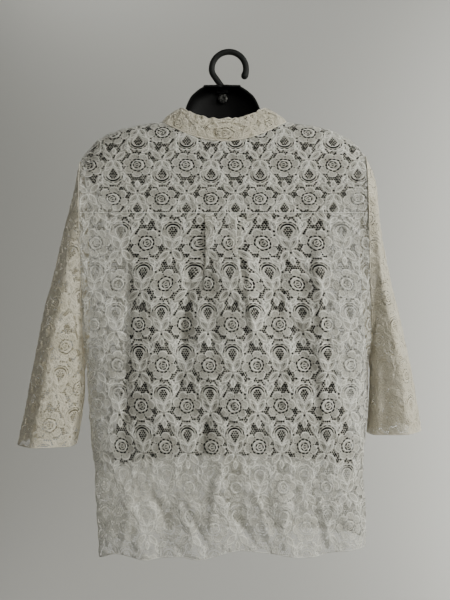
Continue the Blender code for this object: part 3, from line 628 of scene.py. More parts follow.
# Leaves of one half repeat: middle, angle in degrees, length and width
LEAVES = (
    (28.2, -0.8, 64, 22, 9.8),
    (39.8, -0.8, 117, 22, 9.8),
    (43.0, 17.0, 46, 21, 9.4),
    (25.4, 18.2, 130, 20, 9.0),
    (17.2, 31.0, 62, 12, 5.6),
    (52.0, 30.6, 112, 13, 5.8),
    (15.6, -25.6, 66, 18, 8.2),
    (53.0, -24.6, 118, 18, 8.2),
    (34.4, 25.4, 92, 13, 6.4),
    (10.4, 25.4, 40, 14, 6.0),
    (-12.6, 25.2, 128, 10, 4.8),
    (-19.6, -16.8, -52, 13, 5.4),
)
BUD_AT = (34.0, -17.0)
BUD_EYE = ((0, 13.5), (-3.6, 8.6), (-6.3, 3.2), (-7.2, -1.8), (-5.6, -6.0))
BUD_EYE += ((0, -8.0), (5.6, -6.0), (7.2, -1.8), (6.3, 3.2), (3.6, 8.6))


def set_at(points, x, y, angle=0.0, grow=1.0):
    c, s = math.cos(math.radians(angle)) * grow, math.sin(math.radians(angle)) * grow
    return [(x + px * c - py * s, y + px * s + py * c) for px, py in points]


def leaf_line(x, y, angle, length, width, inset=0.0, steps=5):
    """A pointed oval between two arcs."""
    half, wide = length / 2 - inset * 1.9, width / 2 - inset
    points = []
    for side in (1, -1):
        for k in range(steps):
            t = -1 + 2 * k / steps
            points.append((side * t * half, -side * wide * (1 - t * t) ** LEAF_POINT))
    return set_at(points, x, y, angle)


def lobed_ring(x, y, radius, swell, lobes, turn, inset=0.0, steps=6):
    """A ring of round lobes, such as the outline of a flower's petals."""
    points = []
    for k in range(lobes * steps):
        angle = math.radians(turn) + 2 * math.pi * k / (lobes * steps)
        lobe = abs(math.cos((angle - math.radians(turn)) * lobes / 2)) ** LOBE_ROUND
        r = radius + swell * lobe - inset
        points.append((x + r * math.cos(angle), y + r * math.sin(angle)))
    return points


def arc_slit(x, y, radius, start, end, width, steps=4):
    """A crescent opening along an arc, widest at its middle; angles in degrees."""
    outer, inner = [], []
    for k in range(steps + 1):
        t = k / steps
        angle = math.radians(start + (end - start) * t)
        half = width / 2 * math.sin(math.pi * (0.12 + 0.76 * t))
        outer.append((x + (radius + half) * math.cos(angle), y + (radius + half) * math.sin(angle)))
        inner.append((x + (radius - half) * math.cos(angle), y + (radius - half) * math.sin(angle)))
    return outer + inner[::-1]


def is_inside(line, x, y):
    hit = False
    for (ax, ay), (bx, by) in zip(line, line[1:] + line[:1]):
        if (ay > y) != (by > y) and x < ax + (y - ay) / (by - ay) * (bx - ax):
            hit = not hit
    return hit


def rose(x, y, turn, wide):
    """Openings and petal outline of one rose; wide is the share of the openings' full width."""
    near_x, near_y = set_at([(1.3, 0.4)], x, y, turn)[0]
    openings = [arc_slit(near_x, near_y, 1.9, turn, turn + 150, 1.5 * wide)]
    openings.append(arc_slit(near_x, near_y, 1.9, turn + 190, turn + 300, 1.5 * wide))
    for k in range(5):
        start = turn + 20 + 72 * k
        openings.append(arc_slit(near_x, near_y, 5.3, start, start + 60, 2.0 * wide, 3))
    for k in range(11):
        start = turn + 360 / 11 * k
        openings.append(arc_slit(x, y, 9.9 + 0.7 * (k % 2), start, start + 29, 2.5 * wide, 3))
    for k in range(PETALS):
        split = ((12.6, 0), (14.4, -0.7 * wide), (16.6, 0), (14.4, 0.7 * wide))
        openings.append(set_at(split, x, y, turn + 360 / PETALS * (k + 0.5)))
    outline = lobed_ring(x, y, 15.4, 5.6, PETALS, turn)
    heart = (lobed_ring(x, y, 7.6, 0.7, 5, turn), lobed_ring(x, y, 7.6, 0.7, 5, turn, CORD_WIDTH))
    return openings, [(outline, lobed_ring(x, y, 15.4, 5.6, PETALS, turn, CORD_WIDTH)), heart]


def bud(x, y, wide):
    """Openings and outlines of one drop-shaped bud with its net eye."""
    openings = [arc_slit(x, y, 9.9, 194, 346, 2.7 * wide, 7)]
    for k in range(6):
        openings.append(arc_slit(x, y, 13.2, 182 + 30 * k, 206 + 30 * k, 1.7 * wide, 2))
    collar = (lobed_ring(x, y, 14.2, 1.8, 9, 90), lobed_ring(x, y, 14.2, 1.8, 9, 90, CORD_WIDTH))
    eye = (set_at(BUD_EYE, x, y, grow=1.11), set_at(BUD_EYE, x, y))
    return openings, [collar, eye]


def lace_lines(wide):
    """Every opening and outline of one repeat and the margin about it."""
    rng = random.Random(NET_SEED)
    openings, outlines, filled, eyes = [], [], [], []
    for i in range(-1, 3):
        for j in range(-1, 4):
            x, y = i * REPEAT_WIDE + (j % 2) * REPEAT_WIDE / 2, j * REPEAT_HIGH / 2
            turn = 17 if j % 2 else -8
            cut, lines = rose(x, y, turn, wide)
            openings += cut
            outlines += lines
            filled.append(lobed_ring(x, y, 16.5, 5.6, PETALS, turn))
            bx, by = x + BUD_AT[0], y + BUD_AT[1]
            cut, lines = bud(bx, by, wide)
            openings += cut
            outlines += lines
            filled.append(lobed_ring(bx, by, 15.6, 1.8, 9, 90))
            eyes.append(set_at(BUD_EYE, bx, by, grow=0.83))
            for lx, ly, angle, length, width in LEAVES:
                if j % 2:
                    lx, angle = REPEAT_WIDE - lx, 180 - angle
                leaf = (lx + x, ly + y, angle, length, width)
                outlines.append((leaf_line(*leaf), leaf_line(*leaf, CORD_WIDTH)))
                if length > 15:
                    vein = (lx + x, ly + y, angle + 3, length * 0.5, 0.9 * wide)
                    openings.append(leaf_line(*vein, steps=2))
                filled.append(leaf_line(*leaf, -1.35))
    rows = round(REPEAT_HIGH / (NET_PITCH * 0.87) / 2) * 2
    columns = round(REPEAT_WIDE / NET_PITCH)
    hole = bpy.context.scene.lace_shirt.net_hole * 500 * wide
    for r in range(rows):
        for c in range(columns):
            dx, dy = rng.uniform(-NET_JITTER, NET_JITTER), rng.uniform(-NET_JITTER, NET_JITTER)
            spin, size = 30 + rng.uniform(-20, 20), rng.uniform(0.78, 1.12) * hole
            x = (c + 0.5 * (r % 2)) * REPEAT_WIDE / columns + dx
            y = r * REPEAT_HIGH / rows + dy
            if any(is_inside(line, x, y) for line in filled):
                if not any(is_inside(line, x, y) for line in eyes):
                    continue
            corners = [(size * math.cos(a), size * math.sin(a)) for a in HEXAGON]
            for ox in (-REPEAT_WIDE, 0, REPEAT_WIDE):
                for oy in (-REPEAT_HIGH, 0, REPEAT_HIGH):
                    openings.append(set_at(corners, x + ox, y + oy, spin))
    return openings, outlines


def near_cell(line, margin=CELL_MARGIN):
    xs, ys = [p[0] for p in line], [p[1] for p in line]
    in_x = max(xs) > -margin and min(xs) < REPEAT_WIDE + margin
    return in_x and max(ys) > -margin and min(ys) < REPEAT_HIGH + margin


def lace_cell(wide):
    """One repeat as points, triangles, and a mark on each triangle of raised cord."""
    openings, outlines = lace_lines(wide)
    # every outline is a pair: the cord's outer line, then its inner one
    openings = [line for line in openings if near_cell(line)]
    outlines = [pair for pair in outlines if near_cell(pair[0])]
    lines = openings + [line for pair in outlines for line in pair]
    points, faces = [], []
    for line in lines:
        faces.append(list(range(len(points), len(points) + len(line))))
        points += line
    placed = np.array(points)
    rng = random.Random(LOOSE_SEED)
    columns, rows = round(REPEAT_WIDE / LOOSE_PITCH), round(REPEAT_HIGH / LOOSE_PITCH)
    for r in range(rows):
        for c in range(columns):
            x = (c + rng.uniform(0.2, 0.8)) * REPEAT_WIDE / columns
            y = (r + rng.uniform(0.2, 0.8)) * REPEAT_HIGH / rows
            for ox in (-REPEAT_WIDE, 0, REPEAT_WIDE):
                for oy in (-REPEAT_HIGH, 0, REPEAT_HIGH):
                    spot = (x + ox, y + oy)
                    if near_cell([spot]) and np.min(np.hypot(*(placed - spot).T)) > LOOSE_GAP:
                        points.append(spot)
    # a slight sway, the same in each repeat, breaks up points that lie exactly in a row
    flat = np.array(points)
    wide, high = 2 * math.pi / REPEAT_WIDE, 2 * math.pi / REPEAT_HIGH
    wave = np.sin(flat[:, 0] * wide * 11 + flat[:, 1] * high * 17)
    sway = np.cos(flat[:, 0] * wide * 13 - flat[:, 1] * high * 19)
    flat = flat + 0.03 * np.stack([wave, sway], axis=1)
    made = geometry.delaunay_2d_cdt([Vector(p) for p in flat], [], faces, 0, 1e-4, True)
    spots = np.array([tuple(p) for p in made[0]])
    kept, marks = [], []
    first_line = len(openings)
    for face, owners in zip(made[2], made[5]):
        if any(owner < first_line for owner in owners):
            continue
        middle = spots[list(face)].mean(axis=0)
        if not (0 <= middle[0] < REPEAT_WIDE and 0 <= middle[1] < REPEAT_HIGH):
            continue
        held = {owner - first_line for owner in owners}
        kept.append(face)
        marks.append(any(k % 2 == 0 and k + 1 not in held for k in held))
    used, kept = np.unique(np.array(kept), return_inverse=True)
    return spots[used], kept.reshape(-1, 3), np.array(marks)


CELLS = {}


def spread_lace(limits, anchor, upside_down, stretch, wide):
    """Repeats of the lace between limits (metres): flat points, triangles and cord marks."""
    if wide not in CELLS:
        CELLS[wide] = lace_cell(wide)
    cell_points, cell_faces, cell_marks = CELLS[wide]
    scale = np.array(stretch) * 0.001 * bpy.context.scene.lace_shirt.lace_scale
    size = np.array([REPEAT_WIDE, REPEAT_HIGH]) * scale
    sign = -1.0 if upside_down else 1.0
    low = (np.array([limits[0], limits[2]]) - anchor) / size * sign
    high = (np.array([limits[1], limits[3]]) - anchor) / size * sign
    low, high = np.minimum(low, high), np.maximum(low, high)
    points, faces, marks = [], [], []
    for i in range(math.floor(low[0]) - 1, math.ceil(high[0]) + 1):
        for j in range(math.floor(low[1]) - 1, math.ceil(high[1]) + 1):
            spot = cell_points + (i * REPEAT_WIDE, j * REPEAT_HIGH)
            faces.append(cell_faces + sum(len(p) for p in points))
            points.append(anchor + sign * spot * scale)
            marks.append(cell_marks)
    points, faces, marks = np.concatenate(points), np.concatenate(faces), np.concatenate(marks)
    u, w = points[faces, 0], points[faces, 1]
    near = (u.max(1) > limits[0]) & (u.min(1) < limits[1])
    near &= (w.max(1) > limits[2]) & (w.min(1) < limits[3])
    faces, marks = faces[near], marks[near]
    used, faces = np.unique(faces, return_inverse=True)
    points, faces = points[used], faces.reshape(-1, 3)
    _, first, welded = np.unique(
        np.round(points / WELD_WITHIN).astype(np.int64), axis=0, return_index=True, return_inverse=True
    )
    return points[first], welded.reshape(-1)[faces], marks


# Mesh helpers, with their limits in metres and square metres

WELD_WITHIN = 2e-6
SMALLEST_FACE = 2e-9
SMALLEST_BIT = 1e-4
LONGEST_SIDE = 0.016
COUNTS_AS_NONE = 99


def face_normals(points, faces):
    a, b, c = points[faces[:, 0]], points[faces[:, 1]], points[faces[:, 2]]
    return np.cross(b - a, c - a)


def point_normals(points, faces):
    normals = np.zeros(points.shape)
    flat = face_normals(points, faces)
    for k in range(3):
        np.add.at(normals, faces[:, k], flat)
    return normals / np.maximum(np.linalg.norm(normals, axis=1, keepdims=True), 1e-12)


def cord_mesh(route, radius, sides=6, closed=False, flat=1.0):
    """Points and triangles of a round cord along a route, with its ends closed."""
    route = np.asarray(route, float)
    count = len(route)
    if closed:
        ahead = np.roll(route, -1, axis=0) - np.roll(route, 1, axis=0)
    else:
        ahead = np.gradient(route, axis=0)
    ahead = ahead / np.maximum(np.linalg.norm(ahead, axis=1, keepdims=True), 1e-9)
    side = np.cross(ahead, (0.03, 1.0, 0.02))
    side = side / np.maximum(np.linalg.norm(side, axis=1, keepdims=True), 1e-9)
    up = np.cross(side, ahead)
    angles = np.linspace(0, 2 * math.pi, sides, endpoint=False)
    ring = side[:, None] * np.cos(angles)[:, None] + up[:, None] * np.sin(angles)[:, None] * flat
    points = (route[:, None] + ring * radius).reshape(-1, 3)
    faces = []
    for r in range(count if closed else count - 1):
        n = (r + 1) % count
        for s in range(sides):
            t = (s + 1) % sides
            faces.append((r * sides + s, r * sides + t, n * sides + t))
            faces.append((r * sides + s, n * sides + t, n * sides + s))
    if not closed:
        for end, order in ((0, -1), (count - 1, 1)):
            for s in range(1, sides - 1):
                face = (end * sides, end * sides + s, end * sides + s + 1)
                faces.append(face[::order])
    return points, np.array(faces)


def add_piece(name, points, faces, finishes, marks=None):
    """A finished mesh piece at the origin that rides on the root body."""
    mesh = bpy.data.meshes.new(name)
    mesh.from_pydata(points.tolist(), [], faces.tolist())
    for finish in finishes:
        mesh.materials.append(finish)
    if marks is not None:
        mesh.polygons.foreach_set("material_index", np.asarray(marks, np.int32))
    mesh.shade_smooth()
    mesh.update()
    piece = bpy.data.objects.new(name, mesh)
    bpy.context.scene.collection.objects.link(piece)
    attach(piece, "root")
    return piece


# Small uneven waves of limp lace: radians per metre across and down, start, and share
WAVES = ((410, 95, 1.3, 0.40), (-160, 330, 0.2, 0.35), (230, -240, 2.1, 0.35), (70, 510, 4.0, 0.20))
WAVES += ((560, -150, 0.9, 0.20), (-90, 120, 3.1, 0.45))


def crumple(points):
    x, z = points[:, 0] + 0.6 * points[:, 1], points[:, 2]
    bend = 1.4 * np.sin(61 * x + 47 * z) + 1.1 * np.sin(103 * z - 38 * x + 2.0)
    return sum(share * np.sin(kx * x + kz * z + start + bend) for kx, kz, start, share in WAVES)


def on_large_bits(faces, areas):
    """Marks the triangles that belong to a joined bit of lace, and not to a loose scrap."""
    labels = np.arange(faces.max() + 1)
    while True:
        lowest = labels.copy()
        np.minimum.at(lowest, faces, labels[faces].min(axis=1)[:, None])
        lowest = lowest[lowest]
        if np.array_equal(lowest, labels):
            break
        labels = lowest
    owners = labels[faces[:, 0]]
    return np.bincount(owners, weights=areas)[owners] >= SMALLEST_BIT


def lace_sheet(name, place, limits, anchor, finishes, slot, **options):
    """A panel of lace: place turns flat points into points of the panel and marks its edges."""
    settings = bpy.context.scene.lace_shirt
    upside_down = options.get("upside_down", False)
    stretch, wide = options.get("stretch", (1, 1)), options.get("wide", 1.0)
    flat, faces, marks = spread_lace(limits, anchor, upside_down, stretch, wide)
    points, edge = place(flat[:, 0], flat[:, 1])
    sides = [points[faces[:, k]] - points[faces[:, k - 1]] for k in range(3)]
    lengths = [np.linalg.norm(side, axis=1) for side in sides]
    area = np.linalg.norm(face_normals(points, faces), axis=1) / 2
    touching = edge[faces]
    kept = (area > SMALLEST_FACE) & (np.max(lengths, axis=0) < options.get("longest", LONGEST_SIDE))
    kept &= ~np.all(touching > 0, axis=1)
    # a face that touches two edges would bridge the gap between them
    kept &= (touching.max(1) - np.where(touching > 0, touching, COUNTS_AS_NONE).min(1)) <= 0
    faces, marks, area = faces[kept], marks[kept], area[kept]
    kept = on_large_bits(faces, area)
    faces, marks = faces[kept], marks[kept]
    if options.get("inwards", False):
        faces = faces[:, ::-1]
    raise_by = np.zeros(len(points))
    share = np.zeros(len(points))
    for k in range(3):
        np.add.at(share, faces[:, k], 1.0)
        np.add.at(raise_by, faces[:, k], marks.astype(float))
    raise_by = raise_by / np.maximum(share, 1) * settings.cord_height
    raise_by[edge > 0] = 0
    raise_by += crumple(points) * options.get("crumple", 1.0) * settings.crumple * (edge == 0)
    points = points + point_normals(points, faces) * raise_by[:, None]
    used, faces = np.unique(faces, return_inverse=True)
    points, faces = points[used], faces.reshape(-1, 3)
    marks = marks.astype(int)
    for route, radius, closed in options.get("edges", ()):
        more, more_faces = cord_mesh(route, radius, closed=closed, flat=0.8)
        faces = np.concatenate([faces, more_faces + len(points)])
        points = np.concatenate([points, more])
        marks = np.concatenate([marks, np.ones(len(more_faces), int)])
    return add_piece(name, points, faces, finishes, marks)


# Cloth surfaces

PLEAT_CLOTH = float(PLEAT["free"][-1])
BACK_HALF = 0.2345
BACK_HEM_MEAN = float(HEM["down"].mean())


def arc_of(square, depth):
    """Shares of the width and the cloth's length to each, from the middle to the side."""
    turn = np.linspace(0, math.pi / 2, 600)
    out = np.sin(turn) ** (2 / square)
    deep = np.cos(turn) ** (2 / square)
    steps = np.hypot(np.diff(out) * HALF_WIDTH, np.diff(deep) * depth)
    return out, np.concatenate([[0], np.cumsum(steps)])


BACK_ARC = arc_of(BACK_SQUARE, BACK_DEPTH)
FRONT_ARC = arc_of(FRONT_SQUARE, FRONT_DEPTH)


# Sharper creases of the back: top end, low end, height outwards and half-width
BACK_CREASES = table(
    "top_x top_down low_x low_down height width",
    (0.0210, 0.510, 0.0400, 0.567, -0.0046, 0.0062),
    (0.0644, 0.662, 0.0400, 0.712, -0.0061, 0.0062),
    (0.1120, 0.646, 0.0890, 0.696, -0.0061, 0.0062),
    (-0.0090, 0.676, -0.0310, 0.716, -0.0061, 0.0062),
    (0.0140, 0.618, 0.0285, 0.702, 0.0049, 0.0062),
    (-0.0390, 0.648, -0.0580, 0.714, 0.0049, 0.0062),
    (-0.0985, 0.630, -0.0840, 0.695, -0.0049, 0.0062),
    (-0.1300, 0.656, -0.1460, 0.722, 0.0049, 0.0062),
    (0.1435, 0.656, 0.1550, 0.726, 0.0049, 0.0062),
    (0.1465, 0.310, 0.1520, 0.541, -0.0049, 0.0070),
    (-0.1270, 0.296, -0.1360, 0.555, 0.0049, 0.0070),
    (-0.0235, 0.303, -0.0320, 0.411, 0.0049, 0.0062),
    (0.0570, 0.313, 0.0690, 0.426, -0.0049, 0.0062),
)


def back_place(u, w):
    """A point of the back by its cloth: across from the pleat's middle and up from the seam."""
    top = YOKE_SEAM_DOWN + SEAM_GAP / 2
    cloth = np.clip(np.abs(u), 0, BACK_HALF)
    side = np.where(u >= 0, 1.0, -1.0)
    hem = follow(HEM, "down", side * cloth / BACK_HALF)
    down = np.clip(top - w, top, hem)
    level = top + (down - top) * (BACK_HEM_MEAN - top) / (hem - top)
    free = follow(PLEAT_DROP, "free", level - top)
    middle = centre_x(down)
    reach = np.where(side > 0, edge_x(1, down), edge_x(-1, down)) - middle
    folded = np.interp(cloth, PLEAT["free"], PLEAT["folded"])
    offset = side * (folded * (1 - free) + cloth * free)
    lift = np.interp(cloth, PLEAT["free"], PLEAT["lift"]) * follow(PLEAT_DROP, "lift", level - top)
    start = PLEAT_OFFSET + side * (PLEAT["folded"][-1] * (1 - free) + PLEAT_CLOTH * free)
    first = np.interp(start / reach, *BACK_ARC)
    along = np.clip((cloth - PLEAT_CLOTH) / (BACK_HALF - PLEAT_CLOTH), 0, 1)
    out = np.interp(first + along * (BACK_ARC[1][-1] - first), BACK_ARC[1], BACK_ARC[0])
    x = np.where(cloth < PLEAT_CLOTH, middle + PLEAT_OFFSET + offset, middle + out * reach)
    points = body_point(x, down, 1, np.where(cloth < PLEAT_CLOTH, lift, 0.0))
    points[..., 1] += fold_height(BACK_CREASES, x, down)
    edge = np.where((np.abs(u) >= BACK_HALF) | (top - w <= top) | (top - w >= hem), 1, 0)
    return points, edge


def front_place(side):
    """The same for a front: across from the centre line and up from the origin's level."""

    def place(u, w):
        reach_cloth = FRONT_ARC[1][-1]
        cloth = np.clip(u * side, -OVERLAP, reach_cloth)
        out = np.sign(cloth) * np.interp(np.abs(cloth), FRONT_ARC[1], FRONT_ARC[0])
        share = np.clip(out, 0, 1)
        hem_side = HEM["down"][-1 if side > 0 else 0]
        hem = FRONT_HEM_DOWN + (hem_side - FRONT_HEM_DOWN) * share**2
        down = np.maximum(-w, 0.12)
        for _ in range(3):
            middle = centre_x(down)
            x = middle + out * np.abs(edge_x(side, down) - middle) * side
            top = front_top(x)
            down = np.clip(-w, top, hem)
        near = np.abs(x - centre_x(down))
        raised = OVERLAP_RAISE * (1 - ease(*OVERLAP_FADE, near)) if side < 0 else 0.0
        points = body_point(x, down, -1, raised)
        edge = np.where((-w <= top) | (-w >= hem), 1, 0)
        edge = np.where((u * side <= -OVERLAP) | (u * side >= reach_cloth), 1, edge)
        return points, edge

    return place


YOKE_ENDS = (-0.199, 0.2175)
YOKE_SEAM_ENDS = (-0.1985, 0.2155)
YOKE_FRONT_ENDS = {1: 0.2095, -1: 0.204}


def yoke_turns():
    """For each place across the shoulders, the cloth's length from the back seam to each turn."""
    seam = YOKE_SEAM_DOWN - SEAM_GAP / 2
    xs = np.linspace(*YOKE_ENDS, 140)
    shares = np.linspace(0, 1, 160)
    behind = drop_turn(seam - ridge_down(xs))
    before = -drop_turn(front_seam(xs) - ridge_down(xs))
    turns = behind[:, None] + (before - behind)[:, None] * shares
    points = shoulder_point(np.broadcast_to(xs[:, None], turns.shape), turns)
    steps = np.linalg.norm(np.diff(points, axis=1), axis=2)
    lengths = np.concatenate([np.zeros((len(xs), 1)), np.cumsum(steps, axis=1)], axis=1)
    levels = np.linspace(0, float(lengths.max()), 260)
    turn_at = np.array([np.interp(levels, *row) for row in zip(lengths, turns)])
    return xs, levels, turn_at, lengths[:, -1]


def read_grid(rows, columns, values, at_row, at_column):
    """Reads a grid of values between its rows and columns."""
    r = np.clip((at_row - rows[0]) / (rows[1] - rows[0]), 0, len(rows) - 1.001)
    c = np.clip((at_column - columns[0]) / (columns[1] - columns[0]), 0, len(columns) - 1.001)
    i, j = r.astype(int), c.astype(int)
    s, t = r - i, c - j
    near = values[i, j] * (1 - t) + values[i, j + 1] * t
    far = values[i + 1, j] * (1 - t) + values[i + 1, j + 1] * t
    return near * (1 - s) + far * s


def make_yoke_place():
    xs, levels, turns, longest = yoke_turns()

    def place(u, w):
        x = np.clip(u, edge_x(-1, 0.2), edge_x(1, 0.2))
        limit = np.interp(x, xs, longest)
        turn = read_grid(xs, levels, turns, x, np.clip(w, 0, limit))
        out = np.clip(np.abs(x - SHOULDER_CENTRE) / NECK_HALF, 0, 1)
        inside = out < 1
        neck_behind = NECK_SIDE_DOWN + NECK_BACK_DIP * (1 - out * out)
        high = drop_turn(np.maximum(neck_behind - ridge_down(x), 0))
        low = -drop_turn(np.maximum(neck_front_down(x) - ridge_down(x), 0))
        back_cut = inside & (turn < high) & (turn >= (high + low) / 2)
        front_cut = inside & (turn > low) & (turn < (high + low) / 2)
        turn = np.where(back_cut, high, np.where(front_cut, low, turn))
        down = ridge_down(x) + turn_drop(np.abs(turn))
        x = np.clip(x, edge_x(-1, down), edge_x(1, down))
        drop = np.maximum(down - ridge_down(x), 0)
        turn = np.where(turn >= 0, drop_turn(drop), -drop_turn(drop))
        points = shoulder_point(x, turn)
        past_side = (np.abs(u - x) >= 1e-9) & (u * (u - x) > 0)
        edge = np.where((w <= 0) | (w >= limit) | past_side, 3, 0)
        edge = np.where(back_cut, 1, edge)
        edge = np.where(front_cut, 2, edge)
        return points, edge

    return place


# Creases of each sleeve's back, as BACK_CREASES
SLEEVE_CREASES = {
    1: table(
        "top_x top_down low_x low_down height width",
        (0.2395, 0.307, 0.2526, 0.403, 0.0036, 0.0085),
        (0.2526, 0.403, 0.2570, 0.575, 0.0036, 0.0095),
        (0.2439, 0.289, 0.2221, 0.310, -0.0032, 0.0055),
        (0.2265, 0.441, 0.2468, 0.455, -0.0026, 0.0060),
        (0.2119, 0.266, 0.2177, 0.412, -0.0030, 0.0075),
        (0.2330, 0.440, 0.2390, 0.560, -0.0026, 0.0080),
    ),
    -1: table(
        "top_x top_down low_x low_down height width",
        (-0.1984, 0.200, -0.2000, 0.368, -0.0040, 0.0075),
        (-0.2013, 0.404, -0.2159, 0.408, -0.0030, 0.0055),
        (-0.2152, 0.305, -0.2297, 0.412, 0.0032, 0.0090),
        (-0.2297, 0.412, -0.2443, 0.521, 0.0032, 0.0090),
        (-0.2130, 0.430, -0.2180, 0.560, -0.0026, 0.0080),
    ),
}


CUFF_STEP = 7.0
CREASE_FADE = 0.012
SLEEVE_ROWS = 141
SLEEVE_COLUMNS = 181
SLEEVE_LEVELS = 150
SLEEVE_PLACES = 401


def make_sleeve_place(side):
    """A point of a sleeve by its cloth: around from the outer line and down along that line."""
    start = sleeve_point(side, np.array(0.0), np.array(0.0))
    end = sleeve_point(side, np.array(CUFF_STEP), np.array(0.0))
    axis = (end - start) / np.linalg.norm(end - start)
    turns = np.linspace(-math.pi, math.pi, SLEEVE_COLUMNS)
    steps = np.linspace(0, CUFF_STEP, SLEEVE_ROWS)
    size = (SLEEVE_ROWS, SLEEVE_COLUMNS)
    grid = sleeve_point(side, np.broadcast_to(steps[:, None], size), np.broadcast_to(turns, size))
    along = (grid - start) @ axis
    along = np.maximum.accumulate(along, axis=0) + np.arange(SLEEVE_ROWS)[:, None] * 1e-7
    length = float(along[-1].max())
    levels = np.linspace(0, length, SLEEVE_LEVELS)
    step_at = np.array([np.interp(levels, along[:, k], steps) for k in range(SLEEVE_COLUMNS)]).T
    ring = sleeve_point(side, step_at, np.broadcast_to(turns, step_at.shape))
    hops = np.linalg.norm(np.diff(ring, axis=1), axis=2)
    around = np.concatenate([np.zeros((SLEEVE_LEVELS, 1)), np.cumsum(hops, axis=1)], axis=1)
    middle_column = SLEEVE_COLUMNS // 2
    around -= around[:, middle_column : middle_column + 1]
    widest = float(np.abs(around).max())
    places = np.linspace(-widest, widest, SLEEVE_PLACES)
    turn_at = np.array([np.interp(places, row, turns) for row in around])
    steps_at = np.array([np.interp(places, *row) for row in zip(around, step_at)])
    behind, before = around[:, -1], around[:, 0]

    def place(u, w):
        level = np.clip(-w, 0, length)
        most = np.interp(level, levels, behind)
        least = np.interp(level, levels, before)
        cloth = np.clip(u, least, most)
        turn = read_grid(levels, places, turn_at, level, cloth)
        step = read_grid(levels, places, steps_at, level, cloth)
        points = sleeve_point(side, step, turn)
        middle = start[1] + (end[1] - start[1]) * level / length
        behind_it = np.clip((points[..., 1] - middle) / CREASE_FADE, 0, 1)
        creased = fold_height(SLEEVE_CREASES[side], points[..., 0], -points[..., 2])
        points[..., 1] += creased * behind_it
        at_end = (step <= 0.001) | (step >= CUFF_STEP - 0.001)
        edge = np.where(at_end | (u >= most) | (u <= least), 1, 0)
        return points, edge

    return place, length, widest


COLLAR_GATHER = 0.0008
COLLAR_LAYER = 0.0011
COLLAR_HEIGHT = 0.044
COLLAR_BULGE = 0.0022
COLLAR_UNEVEN = 0.022


def collar_surface(turn, rise):
    """A point on the collar's middle surface, with its gathers, and its outward direction."""
    shape = np.broadcast(turn, rise).shape
    turn = np.broadcast_to(turn, shape).ravel()
    rise = np.broadcast_to(rise, shape).ravel()
    keys = np.linspace(-math.pi, math.pi, 361)
    low = np.array([collar_bottom(k) for k in keys])
    high = np.array([collar_top(k) for k in keys])
    lift = 0.0008 + 0.0012 * np.abs(np.sin(keys))
    unit = (high - low) / np.linalg.norm(high - low, axis=1, keepdims=True)
    low = low + unit * lift[:, None]
    bottom = np.stack([np.interp(turn, keys, low[:, k]) for k in range(3)], axis=1)
    top = np.stack([np.interp(turn, keys, high[:, k]) for k in range(3)], axis=1)
    outward = np.stack([np.sin(turn), np.cos(turn), np.full(len(turn), 0.35)], axis=1)
    gathers = bpy.context.scene.lace_shirt.gathers
    wave = np.cos(turn * gathers + 3.1 * np.sin(turn * 3.0) + 1.9 * np.sin(turn * 8.0 + rise * 1.6))
    wave = wave * (0.6 + 0.5 * np.sin(turn * 7 + 1)) + 0.4 * np.sin(turn * gathers * 0.43 + rise * 2.2)
    depth = COLLAR_GATHER * wave * (0.45 + 0.55 * rise) + COLLAR_BULGE * np.sin(math.pi * rise)
    rise = rise * (1 + COLLAR_UNEVEN * wave)
    points = bottom + (top - bottom) * rise[:, None] + outward * depth[:, None]
    return points.reshape((*shape, 3)), outward.reshape((*shape, 3))


def make_collar_place(layer, length):
    def place(u, w):
        limit = math.pi - COLLAR_OPENING
        turn = np.clip(u / length * 2 * limit, -limit, limit)
        rise = np.clip(w / COLLAR_HEIGHT, 0, 1)
        points, outward = collar_surface(turn, rise)
        points = points + outward * layer * COLLAR_LAYER
        edge = np.where((np.abs(u) >= length / 2) | (w <= 0) | (w >= COLLAR_HEIGHT), 1, 0)
        return points, edge

    return place


# Materials

def linear(code):
    """An sRGB hex colour as linear red, green, blue and alpha."""
    parts = [int(code[k : k + 2], 16) / 255 for k in (1, 3, 5)]
    return (*[p / 12.92 if p <= 0.04045 else ((p + 0.055) / 1.055) ** 2.4 for p in parts], 1.0)


def add_node(tree, kind, inputs=None, **settings):
    """Adds a node with its settings, and sets or links each named input."""
    made = tree.nodes.new(kind)
    for key, value in settings.items():
        setattr(made, key, value)
    for key, value in (inputs or {}).items():
        if isinstance(value, tuple) and len(value) == 2 and hasattr(value[0], "outputs"):
            tree.links.new(value[0].outputs[value[1]], made.inputs[key])
        else:
            made.inputs[key].default_value = value
    return made


def new_finish(name, **constants):
    """A material with one Principled shader whose constant values are set on its own sockets."""
    made = bpy.data.materials.new(name)
    made.use_nodes = True
    tree = made.node_tree
    shader = tree.nodes["Principled BSDF"]
    for key, value in constants.items():
        shader.inputs[key.replace("_", " ")].default_value = value
    return made, tree, shader


# Height of a thread for each millimetre from one to the next, in metres
THREAD_RELIEF = 0.0004


def two_tone(tree, scale, detail, dark, light, dark_at=0.0, light_at=1.0):
    """Soft patches from one colour to another, and the noise that they come from."""
    place = add_node(tree, "ShaderNodeTexCoord")
    patches = add_node(
        tree, "ShaderNodeTexNoise", {"Vector": (place, "Object"), "Scale": scale, "Detail": detail}
    )
    tone = add_node(tree, "ShaderNodeValToRGB", {"Fac": (patches, "Fac")})
    for stop, at, colour in zip(tone.color_ramp.elements, (dark_at, light_at), (dark, light)):
        stop.position = at
        stop.color = linear(colour)
    return place, patches, tone


